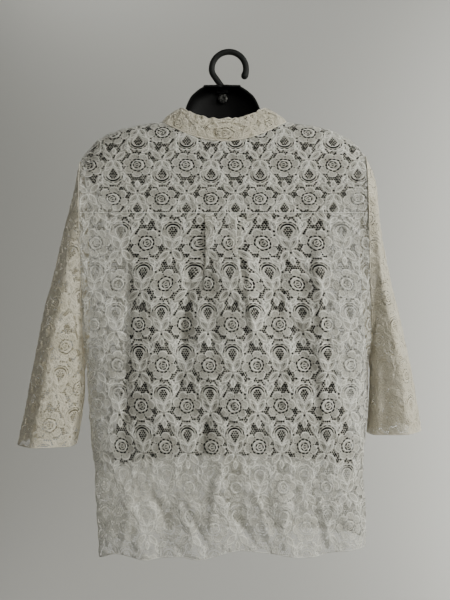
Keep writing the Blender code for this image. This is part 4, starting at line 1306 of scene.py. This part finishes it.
def cotton_lace(name, light, dark, alpha, thread_mm, bump, pinhole_shade=1.0):
    """Cotton thread: matt, with a soft sheen; its small twists catch the light, and its pinholes carry painted
    shade.
    """
    made, tree, shader = new_finish(
        name, Roughness=0.82, Alpha=alpha, IOR=1.5, Sheen_Weight=0.25, Sheen_Roughness=0.5
    )
    place, _, tone = two_tone(tree, 38.0, 4.0, dark, light, 0.36, 0.66)
    # one thread to the next is about thread_mm, so the pattern has 1000 / thread_mm in a metre
    thread = add_node(
        tree, "ShaderNodeTexVoronoi", {"Vector": (place, "Object"), "Scale": 1000 / thread_mm}
    )
    # painted shade: the pinholes between the threads are darkened in the colour, as if shade lay in them
    limits = {"Value": (thread, "Distance"), "From Min": 0.1, "From Max": 0.45, "To Min": pinhole_shade}
    painted_pinhole_shade = add_node(tree, "ShaderNodeMapRange", limits)
    shade = add_node(
        tree, "ShaderNodeHueSaturation", {"Color": (tone, "Color"), "Value": (painted_pinhole_shade, "Result")}
    )
    depth = thread_mm * THREAD_RELIEF
    relief = add_node(
        tree, "ShaderNodeBump", {"Height": (thread, "Distance"), "Strength": bump, "Distance": depth}
    )
    tree.links.new(shade.outputs["Color"], shader.inputs["Base Color"])
    tree.links.new(relief.outputs["Normal"], shader.inputs["Normal"])
    return made


FINISHES = {}

# Lace finishes: key, name, light and dark colour, share of light stopped, millimetres between
# threads, strength of the thread's relief, and how light the painted shade in the pinholes leaves them
# the last number of each finish sets the painted shade in its pinholes, darkest for the plain ground
LACES = (
    ("ground", "cotton lace ground", "#EFECDE", "#DEDACA", 0.67, 2.1, 1.0, 0.6),
    ("outline", "cotton lace outline cord", "#F8F6EC", "#EFEDE1", 1.0, 0.8, 0.8, 1.0),
    ("double_ground", "doubled cotton lace ground", "#EDE5CE", "#DED5BB", 0.93, 2.1, 0.9, 0.8),
    ("double_outline", "doubled cotton lace cord", "#F5EDD8", "#E9E0C9", 1.0, 0.8, 0.8, 1.0),
)


def make_finishes():
    """All of the object's finishes by a short name, each made once."""
    if "ground" in FINISHES:
        return FINISHES
    # machine-made cotton lace: the fine ground lets some light through, the outlines don't;
    # the doubled lace of sleeves and collar is warmer, and closer to opaque
    for key, *look in LACES:
        FINISHES[key] = cotton_lace(*look)

    # cast polyester with a pearl layer: glossy, with slow milky bands
    made, tree, shader = new_finish("pearl polyester button", Roughness=0.22, IOR=1.54, Coat_Weight=0.4)
    _, _, tone = two_tone(tree, 260.0, 3.0, "#A99E88", "#E2DBCB")
    tree.links.new(tone.outputs["Color"], shader.inputs["Base Color"])
    FINISHES["button"] = made

    # vacuum-formed polystyrene: black and satin, with faint waves from forming and fine scuffs
    made, tree, shader = new_finish(
        "black vacuum-formed polystyrene",
        IOR=1.59, Base_Color=linear("#0E0E0D"), Specular_IOR_Level=0.12,
    )
    place = add_node(tree, "ShaderNodeTexCoord")
    waves = add_node(
        tree, "ShaderNodeTexNoise", {"Vector": (place, "Object"), "Scale": 14.0, "Detail": 2.0}
    )
    scuffs = add_node(
        tree, "ShaderNodeTexNoise", {"Vector": (place, "Object"), "Scale": 420.0, "Detail": 6.0}
    )
    rough = add_node(
        tree, "ShaderNodeMapRange", {"Value": (scuffs, "Fac"), "To Min": 0.5, "To Max": 0.66}
    )
    relief = add_node(
        tree, "ShaderNodeBump", {"Height": (waves, "Fac"), "Strength": 0.25, "Distance": 0.004}
    )
    tree.links.new(rough.outputs["Result"], shader.inputs["Roughness"])
    tree.links.new(relief.outputs["Normal"], shader.inputs["Normal"])
    FINISHES["form"] = made

    # injection-moulded nylon: dark grey, with a fine spark-eroded grain of about 0.6 mm
    made, tree, shader = new_finish(
        "moulded grey-black nylon", Roughness=0.62, IOR=1.53, Specular_IOR_Level=0.25
    )
    _, grain, tone = two_tone(tree, 1600.0, 3.0, "#1B1C1A", "#2B2C29")
    relief = add_node(
        tree, "ShaderNodeBump", {"Height": (grain, "Fac"), "Strength": 0.3, "Distance": 0.0002}
    )
    tree.links.new(tone.outputs["Color"], shader.inputs["Base Color"])
    tree.links.new(relief.outputs["Normal"], shader.inputs["Normal"])
    FINISHES["nylon"] = made

    # blackened steel: dark and metallic, worn brighter in small spots
    made, tree, shader = new_finish("blackened steel", Metallic=0.85)
    _, wear, tone = two_tone(tree, 900.0, 5.0, "#2A2A28", "#6A6964", 0.5, 0.75)
    rough = add_node(
        tree, "ShaderNodeMapRange", {"Value": (wear, "Fac"), "To Min": 0.3, "To Max": 0.5}
    )
    tree.links.new(tone.outputs["Color"], shader.inputs["Base Color"])
    tree.links.new(rough.outputs["Result"], shader.inputs["Roughness"])
    FINISHES["steel"] = made
    return FINISHES


# Modelling aids

def pick(piece):
    """Selects one piece alone and makes it active."""
    bpy.ops.object.select_all(action="DESELECT")
    piece.select_set(True)
    bpy.context.view_layer.objects.active = piece


def apply_all(piece):
    pick(piece)
    for change in list(piece.modifiers):
        bpy.ops.object.modifier_apply(modifier=change.name)


def settle(piece):
    """Puts a finished piece's place into its mesh."""
    pick(piece)
    bpy.ops.object.transform_apply(location=True, rotation=True, scale=True)


def soften_edges(piece, width, segments=2):
    change = piece.modifiers.new("edge", "BEVEL")
    change.width = width
    change.segments = segments
    apply_all(piece)


def select_faces(piece, test):
    """In edit mode, selects the faces whose middle and normal pass the test."""
    bm = bmesh.from_edit_mesh(piece.data)
    for part in (bm.verts, bm.edges, bm.faces):
        for item in part:
            item.select = False
    for face in bm.faces:
        face.select = bool(test(face.calc_center_median(), face.normal))
    bm.select_flush_mode()
    bmesh.update_edit_mesh(piece.data)


def cut_with(piece, cutter, operation="DIFFERENCE"):
    change = piece.modifiers.new("cut", "BOOLEAN")
    change.operation = operation
    change.object = cutter
    apply_all(piece)
    bpy.data.objects.remove(cutter, do_unlink=True)


# Settings

class LaceShirtSettings(PropertyGroup):
    """Sizes of the lace and colours of the stage that a user would change."""

    lace_scale: FloatProperty(
        name="Lace scale", description="Size of the lace's repeat against the real one",
        default=1.0, min=0.7, max=1.5,
    )
    net_hole: FloatProperty(
        name="Net opening", description="Size of an opening of the net", default=0.0031, unit="LENGTH"
    )
    cord_height: FloatProperty(
        name="Cord height", description="How far the outline cord stands up",
        default=0.0007, unit="LENGTH",
    )
    crumple: FloatProperty(
        name="Crumple", description="Height of the small uneven waves of the cloth",
        default=0.0009, unit="LENGTH",
    )
    gathers: IntProperty(
        name="Gathers", description="Gathers around the collar", default=38, min=8, max=60
    )
    seam_cord: FloatProperty(
        name="Seam", description="Radius of the rolled seams and edges", default=0.0006, unit="LENGTH"
    )
    wall_colour: FloatVectorProperty(
        name="Wall", description="Colour of the backdrop",
        subtype="COLOR", size=4, default=linear("#B6B5AF"),
    )


# Cloth that each sheet is cut from, in metres and square metres

# Where one rose of each sheet lies, across and up from the sheet's own start
YOKE_ROSE = (0.0269, 0.0204)
BACK_ROSE = (-0.0110, -0.0430)
FRONT_ROSE = (0.02, -0.23)
SLEEVE_ROSE = (0.012, -0.03)
COLLAR_ROSE_UP = 0.012
COLLAR_ROSE_SHIFT = 0.031

# The yoke's lace lies stretched along the shoulders and is eased in over them
YOKE_STRETCH = (1.037, 0.84)

# The doubled lace of sleeves and collar looks closed: its openings show this share of their width
DOUBLED_OPENING = {"left": 0.95, "right": 0.62, "collar": 0.95}


# Operators

class LACESHIRT_OT_yoke(Operator):
    """Builds the lace of the yoke over both shoulders"""

    bl_idname = "lace_shirt.yoke"
    bl_label = "Yoke"

    def execute(self, context):
        finishes = make_finishes()
        place = make_yoke_place()
        cord = context.scene.lace_shirt.seam_cord
        xs = np.linspace(*YOKE_SEAM_ENDS, 150)
        seam, _ = place(xs, np.full(xs.shape, 0.0002))
        seam[:, 1] += cord
        edges = [(seam, cord, False)]
        for side in (1, -1):
            outs = np.linspace(FRONT_SEAM_OUT[0] + 0.0005, YOKE_FRONT_ENDS[side], 60)
            far = outs * side + SHOULDER_CENTRE
            downs = front_seam(far) - 0.0004
            far = np.clip(far, edge_x(-1, downs), edge_x(1, downs))
            route = body_point(far, downs, -1)
            route[:, 1] -= cord
            edges.append((route, cord, False))
        piece = lace_sheet(
            "yoke_lace", place, (-0.2, 0.22, 0.0, 0.36), np.array(YOKE_ROSE),
            (finishes["ground"], finishes["outline"]), "lace",
            stretch=YOKE_STRETCH, inwards=True, edges=edges,
        )
        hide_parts("yoke")
        return {"FINISHED"}


class LACESHIRT_OT_back(Operator):
    """Builds the lace of the back with its box pleat"""

    bl_idname = "lace_shirt.back"
    bl_label = "Back"

    def execute(self, context):
        finishes = make_finishes()
        cord = context.scene.lace_shirt.seam_cord
        us = np.linspace(-BACK_HALF, BACK_HALF, 500)
        hem, _ = back_place(us, np.full(us.shape, -0.6))
        edges = [(hem, cord * 1.1, False)]
        for side in (1, -1):
            downs = np.linspace(UNDERARM_DOWN[side], 0.735, 90)
            route = np.stack([edge_x(side, downs), np.full(90, SIDE_Y + cord), -downs], axis=1)
            edges.append((route, cord, False))
        piece = lace_sheet(
            "back_lace", back_place, (-BACK_HALF, BACK_HALF, -0.51, 0.0),
            np.array(BACK_ROSE), (finishes["ground"], finishes["outline"]), "lace",
            upside_down=True, inwards=True, edges=edges,
        )
        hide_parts("back")
        return {"FINISHED"}


class LACESHIRT_OT_fronts(Operator):
    """Builds the lace of both fronts"""

    bl_idname = "lace_shirt.fronts"
    bl_label = "Fronts"

    def execute(self, context):
        finishes = make_finishes()
        cord = context.scene.lace_shirt.seam_cord
        for name, side in (("front_left", 1), ("front_right", -1)):
            place = front_place(side)
            us = np.linspace(-OVERLAP, FRONT_ARC[1][-1], 260) * side
            hem, _ = place(us, np.full(us.shape, -0.8))
            ws = np.linspace(-0.2, -0.735, 200)
            opening, _ = place(np.full(ws.shape, -OVERLAP * side), ws)
            band, _ = place(np.full(ws.shape, OVERLAP * side), ws)
            band[:, 1] -= cord * 0.6
            edges = [(hem, cord * 1.1, False), (opening, cord, False), (band, cord * 0.6, False)]
            limits = (-OVERLAP, FRONT_ARC[1][-1]) if side > 0 else (-FRONT_ARC[1][-1], OVERLAP)
            piece = lace_sheet(
                f"{name}_lace", place, (*limits, -0.75, -0.14),
                np.array([FRONT_ROSE[0] * side, FRONT_ROSE[1]]),
                (finishes["ground"], finishes["outline"]), "lace", upside_down=True, edges=edges,
            )
            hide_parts(name)
        return {"FINISHED"}


class LACESHIRT_OT_sleeves(Operator):
    """Builds the lace of both sleeves with their armhole seams and cuff edges"""

    bl_idname = "lace_shirt.sleeves"
    bl_label = "Sleeves"

    def execute(self, context):
        finishes = make_finishes()
        cord = context.scene.lace_shirt.seam_cord
        turns = np.linspace(0, 2 * math.pi, 160, endpoint=False)
        for name, side in (("sleeve_left", 1), ("sleeve_right", -1)):
            place, length, widest = make_sleeve_place(side)
            armhole = sleeve_point(side, np.full(turns.shape, 0.0), turns)
            cuff = sleeve_point(side, np.full(turns.shape, CUFF_STEP), turns)
            steps = np.linspace(0, CUFF_STEP, 80)
            under = sleeve_point(side, steps, np.full(steps.shape, math.pi))
            edges = [(armhole, cord, True), (cuff, cord * 1.2, True), (under, cord, False)]
            piece = lace_sheet(
                f"{name}_lace", place, (-widest, widest, -length, 0.0), np.array(SLEEVE_ROSE),
                (finishes["double_ground"], finishes["double_outline"]), "doubled_lace",
                upside_down=True, inwards=side < 0, edges=edges,
                wide=DOUBLED_OPENING[name.split("_")[1]], crumple=0.4,
            )
            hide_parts(name)
        return {"FINISHED"}


class LACESHIRT_OT_collar(Operator):
    """Builds the doubled and gathered stand collar"""

    bl_idname = "lace_shirt.collar"
    bl_label = "Collar"

    def execute(self, context):
        finishes = make_finishes()
        cord = context.scene.lace_shirt.seam_cord
        limit = math.pi - COLLAR_OPENING
        turns = np.linspace(-limit, limit, 600)
        line, _ = collar_surface(turns, np.full(600, 0.6))
        length = float(np.sum(np.linalg.norm(np.diff(line, axis=0), axis=1)))
        edges = []
        top, outward = collar_surface(turns, np.full(600, 1.0))
        edges.append((top, COLLAR_LAYER * 1.15, False))
        low, outward = collar_surface(turns, np.full(600, 0.0))
        edges.append((low + outward * COLLAR_LAYER * 0.5 - [0, 0, cord], cord * 1.7, False))
        parts = []
        for layer, across in ((1, 0.0), (-1, COLLAR_ROSE_SHIFT)):
            parts.append(lace_sheet(
                "collar_lace" if layer > 0 else "collar_inner", make_collar_place(layer, length),
                (-length / 2, length / 2, 0.0, COLLAR_HEIGHT),
                np.array([across, COLLAR_ROSE_UP + across]),
                (finishes["double_ground"], finishes["double_outline"]), "doubled_lace",
                inwards=layer > 0, edges=edges if layer > 0 else (), longest=0.02,
                wide=DOUBLED_OPENING["collar"], crumple=0.3,
            ))
        outer, inner = parts
        pick(outer)
        inner.select_set(True)
        bpy.ops.object.join()
        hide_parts("collar")
        return {"FINISHED"}


class LACESHIRT_OT_buttons(Operator):
    """Builds the four-hole buttons down the front"""

    bl_idname = "lace_shirt.buttons"
    bl_label = "Buttons"

    def execute(self, context):
        finishes = make_finishes()
        bpy.ops.object.select_all(action="DESELECT")
        bpy.ops.mesh.primitive_cylinder_add(vertices=40, radius=BUTTON_RADIUS, depth=BUTTON_THICK)
        master = context.object
        bpy.ops.object.mode_set(mode="EDIT")
        select_faces(master, lambda middle, normal: normal.z > 0.9)
        bpy.ops.mesh.inset(thickness=BUTTON_RADIUS * 0.16)
        bpy.ops.mesh.inset(thickness=BUTTON_RADIUS * 0.16, depth=-BUTTON_THICK * 0.3)
        bpy.ops.object.mode_set(mode="OBJECT")
        for x in (-1, 1):
            for y in (-1, 1):
                bpy.ops.object.select_all(action="DESELECT")
                spot = (x * BUTTON_HOLE_AT, y * BUTTON_HOLE_AT, 0)
                bpy.ops.mesh.primitive_cylinder_add(
                    vertices=16, radius=BUTTON_HOLE_RADIUS, depth=BUTTON_HOLE_LONG, location=spot
                )
                cut_with(master, context.object)
        soften_edges(master, SMALL_EDGE)
        master.data.materials.append(finishes["button"])
        pick(master)
        bpy.ops.object.shade_smooth_by_angle(angle=math.radians(35))
        for k in range(BUTTON_COUNT):
            here, slope = front_frame(BUTTON_FIRST_DOWN + BUTTON_STEP * k)
            outward = np.array([0, -math.cos(slope), math.sin(slope)])
            piece = master.copy()
            piece.data = master.data.copy()
            piece.name = f"pearl_button_{k + 1}"
            context.scene.collection.objects.link(piece)
            off = CLOTH / 2 + SEAM_GAP * 1.4 + BUTTON_THICK / 2
            piece.location = (here + outward * off).tolist()
            piece.rotation_euler = (math.pi / 2 - slope, 0, 0)
            settle(piece)
            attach(piece, "root")
            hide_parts(f"button_{k + 1}")
        bpy.data.objects.remove(master, do_unlink=True)
        return {"FINISHED"}


class LACESHIRT_OT_form(Operator):
    """Builds the smooth torso form as a thin shell, with a slot cut for the hook's plate"""

    bl_idname = "lace_shirt.form"
    bl_label = "Torso form"

    def execute(self, context):
        finishes = make_finishes()
        columns = 61
        rows = []
        top, last = FORM["down"][0] - FORM_TOP_RISE, FORM["down"][-1]
        for share in (0.16, 0.34, 0.52, 0.7, 0.88):
            front = NECK_RIM_Y - (NECK_RIM_Y - FORM["front"][0]) * share
            down = top - FORM_CROWN * (1 - share)
            rows.append(form_section(down, FORM["half"][0] * share, front, columns))
        for down in top + (last - top) * np.linspace(0, 1, 22) ** 1.3:
            rows.append(form_section(down, *read_form(FORM, down), columns))
        for out in np.interp(np.linspace(0, 8, 25), range(9), FORM_SHOULDER_OUTS):
            down = float(follow(RIDGE, "down", out * FORM_SPREAD)) + REST_GAP * 1.2
            rows.append(form_section(down, out, float(follow(DEPTHS, "front", down)), columns))
        for down in np.linspace(FORM_BODY_TOP, FORM_BODY["down"][-1], 70):
            rows.append(form_section(down, *read_form(FORM_BODY, down), columns))
        points = np.array(rows)
        count, across = points.shape[:2]
        faces = []
        for r in range(count - 1):
            for c in range(across - 1):
                a = r * across + c
                faces.append((a, a + 1, a + across + 1, a + across))
        piece = add_piece(
            "torso_form", points.reshape(-1, 3), np.array(faces), [finishes["form"]],
        )
        wall = piece.modifiers.new("wall", "SOLIDIFY")
        wall.thickness = SHELL
        wall.offset = 1.0
        apply_all(piece)
        bpy.ops.object.select_all(action="DESELECT")
        slot_at = (PLATE_X + SLOT_SHIFT, 0.0008, -FORM["down"][0])
        bpy.ops.mesh.primitive_cube_add(size=1, location=slot_at)
        context.object.scale = (SLOT_X, SLOT_Y, SLOT_HIGH)
        cut_with(piece, context.object)
        pick(piece)
        bpy.ops.object.shade_smooth_by_angle(angle=math.radians(40))
        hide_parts("form_shell")
        return {"FINISHED"}


class LACESHIRT_OT_hook(Operator):
    """Builds the moulded hook with its plate, and the screw that holds it"""

    bl_idname = "lace_shirt.hook"
    bl_label = "Hook"

    def execute(self, context):
        finishes = make_finishes()
        route = np.array(hook_route())
        keys = np.linspace(0, len(route) - 1, 90)
        spread = [np.interp(keys, range(len(route)), route[:, k]) for k in range(2)]
        spread = np.stack(spread, axis=1)
        for _ in range(3):
            spread[1:-1] = (spread[:-2] + 2 * spread[1:-1] + spread[2:]) / 4
        line = bpy.data.curves.new("hook_line", "CURVE")
        line.dimensions = "3D"
        spline = line.splines.new("POLY")
        spline.points.add(len(spread) - 1)
        for k, (x, z) in enumerate(spread):
            spline.points[k].co = (x, 0.0, z, 1.0)
            spline.points[k].radius = 1.0 + (HOOK_TIP_SWELL - 1.0) * math.exp(-((k / 5) ** 2))
        line.bevel_depth = HOOK_TUBE * HOOK_FULLNESS
        line.bevel_resolution = 6
        line.use_fill_caps = True
        piece = bpy.data.objects.new("hanging_hook", line)
        context.scene.collection.objects.link(piece)
        pick(piece)
        bpy.ops.object.convert(target="MESH")
        piece = context.object
        bpy.ops.object.select_all(action="DESELECT")
        tip = (spread[0][0], 0.0, spread[0][1])
        reach = HOOK_TUBE / 2 * HOOK_TIP_SWELL
        bpy.ops.mesh.primitive_uv_sphere_add(segments=24, ring_count=16, radius=reach, location=tip)
        cut_with(piece, context.object, "UNION")
        bpy.ops.object.select_all(action="DESELECT")
        plate_end = SCREW_DOWN + SCREW_RADIUS * 0.6
        middle = -(PLATE_TOP_DOWN + plate_end) / 2
        bpy.ops.mesh.primitive_cube_add(size=1, location=(PLATE_X, -PLATE_THICK / 4, middle))
        plate = context.object
        plate.scale = (PLATE_WIDTH, PLATE_THICK, plate_end - PLATE_TOP_DOWN)
        settle(plate)
        soften_edges(plate, PLATE_EDGE, segments=3)
        cut_with(piece, plate, "UNION")
        piece.data.materials.clear()
        piece.data.materials.append(finishes["nylon"])
        pick(piece)
        bpy.ops.object.shade_smooth_by_angle(angle=math.radians(40))
        piece.name = "hanging_hook"
        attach(piece, "root")
        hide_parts("hook")

        bpy.ops.object.select_all(action="DESELECT")
        bpy.ops.mesh.primitive_cylinder_add(vertices=40, radius=SCREW_RADIUS, depth=SCREW_HEAD)
        screw = context.object
        bpy.ops.object.mode_set(mode="EDIT")
        select_faces(screw, lambda middle, normal: normal.z > 0.9)
        bpy.ops.mesh.inset(thickness=SCREW_RADIUS * 0.3)
        bpy.ops.transform.translate(value=(0, 0, SCREW_HEAD * 0.25))
        bpy.ops.object.mode_set(mode="OBJECT")
        for size in (SCREW_CROSS, (SCREW_CROSS[1], SCREW_CROSS[0], SCREW_CROSS[2])):
            bpy.ops.object.select_all(action="DESELECT")
            bpy.ops.mesh.primitive_cube_add(size=1, location=(0, 0, SCREW_HEAD * 0.75))
            context.object.scale = size
            cut_with(screw, context.object)
        soften_edges(screw, SMALL_EDGE)
        screw.name = "cross_screw"
        screw.data.materials.append(finishes["steel"])
        screw.rotation_euler = (-math.pi / 2, 0.3, 0)
        screw.location = (PLATE_X, PLATE_THICK / 4 + SEAM_GAP + SCREW_HEAD / 2, -SCREW_DOWN)
        settle(screw)
        bpy.ops.object.shade_smooth_by_angle(angle=math.radians(35))
        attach(screw, "root")
        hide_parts("hook_screw")
        return {"FINISHED"}


# Stage: the floor, the wall and the cove between them
FLOOR_DOWN = 1.95
WALL_Y = -2.6
COVE_RADIUS = 0.8
STAGE_REACH = 6.0

# Soft lights: name, place, size, power in watts, colour, what it is aimed at and its spread
AT_WALL = (-0.6, WALL_Y, -0.3)
AT_SHIRT = (0, 0, -0.4)
AT_BACK = (-0.3, 0, -0.4)
AT_FLANK = (0.2, 0, -0.4)
DAYLIGHT = (0.985, 1.0, 0.965)
WALL_WHITE = (0.99, 1.0, 0.98)
LIGHTS = (
    # the narrow spread of these three keeps them off the wall behind the shirt
    ("window_light", (-2.3, 1.25, 0.4), 1.1, 7.2, DAYLIGHT, AT_BACK, 60),
    ("room_light", (-1.1, 2.3, 0.3), 1.0, 1.9, (1.0, 1.0, 0.965), AT_BACK, 42),
    ("left_light", (2.0, 0.35, 0.0), 1.0, 0.3, DAYLIGHT, AT_FLANK, 60),
    ("fill_light", (1.6, 3.0, 0.2), 2.4, 3.0, (0.97, 0.98, 1.0), AT_SHIRT, 180),
    ("top_light", (-0.4, 1.2, 2.2), 2.0, 3.0, (1.0, 0.99, 0.97), AT_SHIRT, 180),
    ("wall_light", (-1.9, -1.9, -0.4), 1.0, 78.0, WALL_WHITE, AT_WALL, 180),
    ("wall_top_light", (0.6, -1.9, 1.7), 1.0, 16.0, WALL_WHITE, AT_WALL, 180),
    ("wall_low_light", (0.8, -1.6, -1.8), 1.0, 5.5, (1.0, 0.98, 0.97), AT_WALL, 180),
)
TALL_LIGHT, TALL_LIGHT_HIGH = "wall_light", 3.2
SKY_COLOUR, SKY_STRENGTH = "#E7E6E2", 0.05
SENSOR_MM, LENS_MM = 36.0, 54.0
CAMERA_AT = (0.00675, 1.35, -0.368)


class LACESHIRT_OT_stage(Operator):
    """Builds the pale floor and backdrop, the soft lights and the camera"""

    bl_idname = "lace_shirt.stage"
    bl_label = "Stage"

    def execute(self, context):
        # matt emulsion on a plain wall: no gloss, with the faintest roller grain
        made, tree, shader = new_finish("matt white wall emulsion", Roughness=0.9)
        shader.inputs["Base Color"].default_value = context.scene.lace_shirt.wall_colour
        turns = np.linspace(0, math.pi / 2, 13)
        bend_y = WALL_Y + COVE_RADIUS - np.sin(turns) * COVE_RADIUS
        bend_z = COVE_RADIUS * (1 - np.cos(turns)) - FLOOR_DOWN
        profile = [(STAGE_REACH, -FLOOR_DOWN), *zip(bend_y, bend_z), (WALL_Y, STAGE_REACH)]
        corners = [(x, y, z) for x in (-STAGE_REACH, STAGE_REACH) for y, z in profile]
        count = len(profile)
        mesh = bpy.data.meshes.new("backdrop")
        mesh.from_pydata(corners, [], [(k + 1, k, k + count, k + count + 1) for k in range(count - 1)])
        cove = bpy.data.objects.new("backdrop", mesh)
        context.scene.collection.objects.link(cove)
        mesh.materials.append(made)
        mesh.shade_smooth()

        for name, spot, size, power_w, colour, aim, spread in LIGHTS:
            data = bpy.data.lights.new(name, "AREA")
            data.shape = "SQUARE"
            data.size = size
            data.energy = power_w
            data.color = colour
            data.spread = math.radians(spread)
            if name == TALL_LIGHT:
                data.shape = "RECTANGLE"
                data.size_y = TALL_LIGHT_HIGH
            light = bpy.data.objects.new(name, data)
            context.scene.collection.objects.link(light)
            light.location = spot
            light.rotation_mode = "QUATERNION"
            light.rotation_quaternion = (Vector(aim) - Vector(spot)).to_track_quat("-Z", "Y")

        world = context.scene.world or bpy.data.worlds.new("room")
        context.scene.world = world
        world.use_nodes = True
        sky = world.node_tree.nodes["Background"]
        sky.inputs["Color"].default_value = linear(SKY_COLOUR)
        sky.inputs["Strength"].default_value = SKY_STRENGTH

        data = bpy.data.cameras.new("camera")
        data.sensor_width = SENSOR_MM
        data.lens = LENS_MM
        camera = bpy.data.objects.new("camera", data)
        context.scene.collection.objects.link(camera)
        camera.location = CAMERA_AT
        camera.rotation_euler = (math.pi / 2, 0, math.pi)
        context.scene.camera = camera
        return {"FINISHED"}


OPERATORS = (
    LACESHIRT_OT_yoke,
    LACESHIRT_OT_back,
    LACESHIRT_OT_fronts,
    LACESHIRT_OT_sleeves,
    LACESHIRT_OT_collar,
    LACESHIRT_OT_buttons,
    LACESHIRT_OT_form,
    LACESHIRT_OT_hook,
    LACESHIRT_OT_stage,
)


class LACESHIRT_PT_panel(Panel):
    """Lists the shirt's sizes and the pieces to build"""

    bl_idname = "LACESHIRT_PT_panel"
    bl_label = "Lace Shirt"
    bl_space_type = "VIEW_3D"
    bl_region_type = "UI"
    bl_category = "Lace Shirt"

    def draw(self, context):
        settings = context.scene.lace_shirt
        for key in ("lace_scale", "net_hole", "cord_height", "crumple", "gathers", "seam_cord", "wall_colour"):
            self.layout.prop(settings, key)
        for operator in OPERATORS:
            self.layout.operator(operator.bl_idname)


def register():
    bpy.utils.register_class(LaceShirtSettings)
    bpy.types.Scene.lace_shirt = PointerProperty(type=LaceShirtSettings)
    for operator in OPERATORS:
        bpy.utils.register_class(operator)
    bpy.utils.register_class(LACESHIRT_PT_panel)


def unregister():
    bpy.utils.unregister_class(LACESHIRT_PT_panel)
    for operator in reversed(OPERATORS):
        bpy.utils.unregister_class(operator)
    del bpy.types.Scene.lace_shirt
    bpy.utils.unregister_class(LaceShirtSettings)


def main():
    register()
    bpy.ops.lace_shirt.yoke()
    bpy.ops.lace_shirt.back()
    bpy.ops.lace_shirt.fronts()
    bpy.ops.lace_shirt.sleeves()
    bpy.ops.lace_shirt.collar()
    bpy.ops.lace_shirt.buttons()
    bpy.ops.lace_shirt.form()
    bpy.ops.lace_shirt.hook()
    bpy.ops.lace_shirt.stage()


if __name__ == "__main__":
    main()
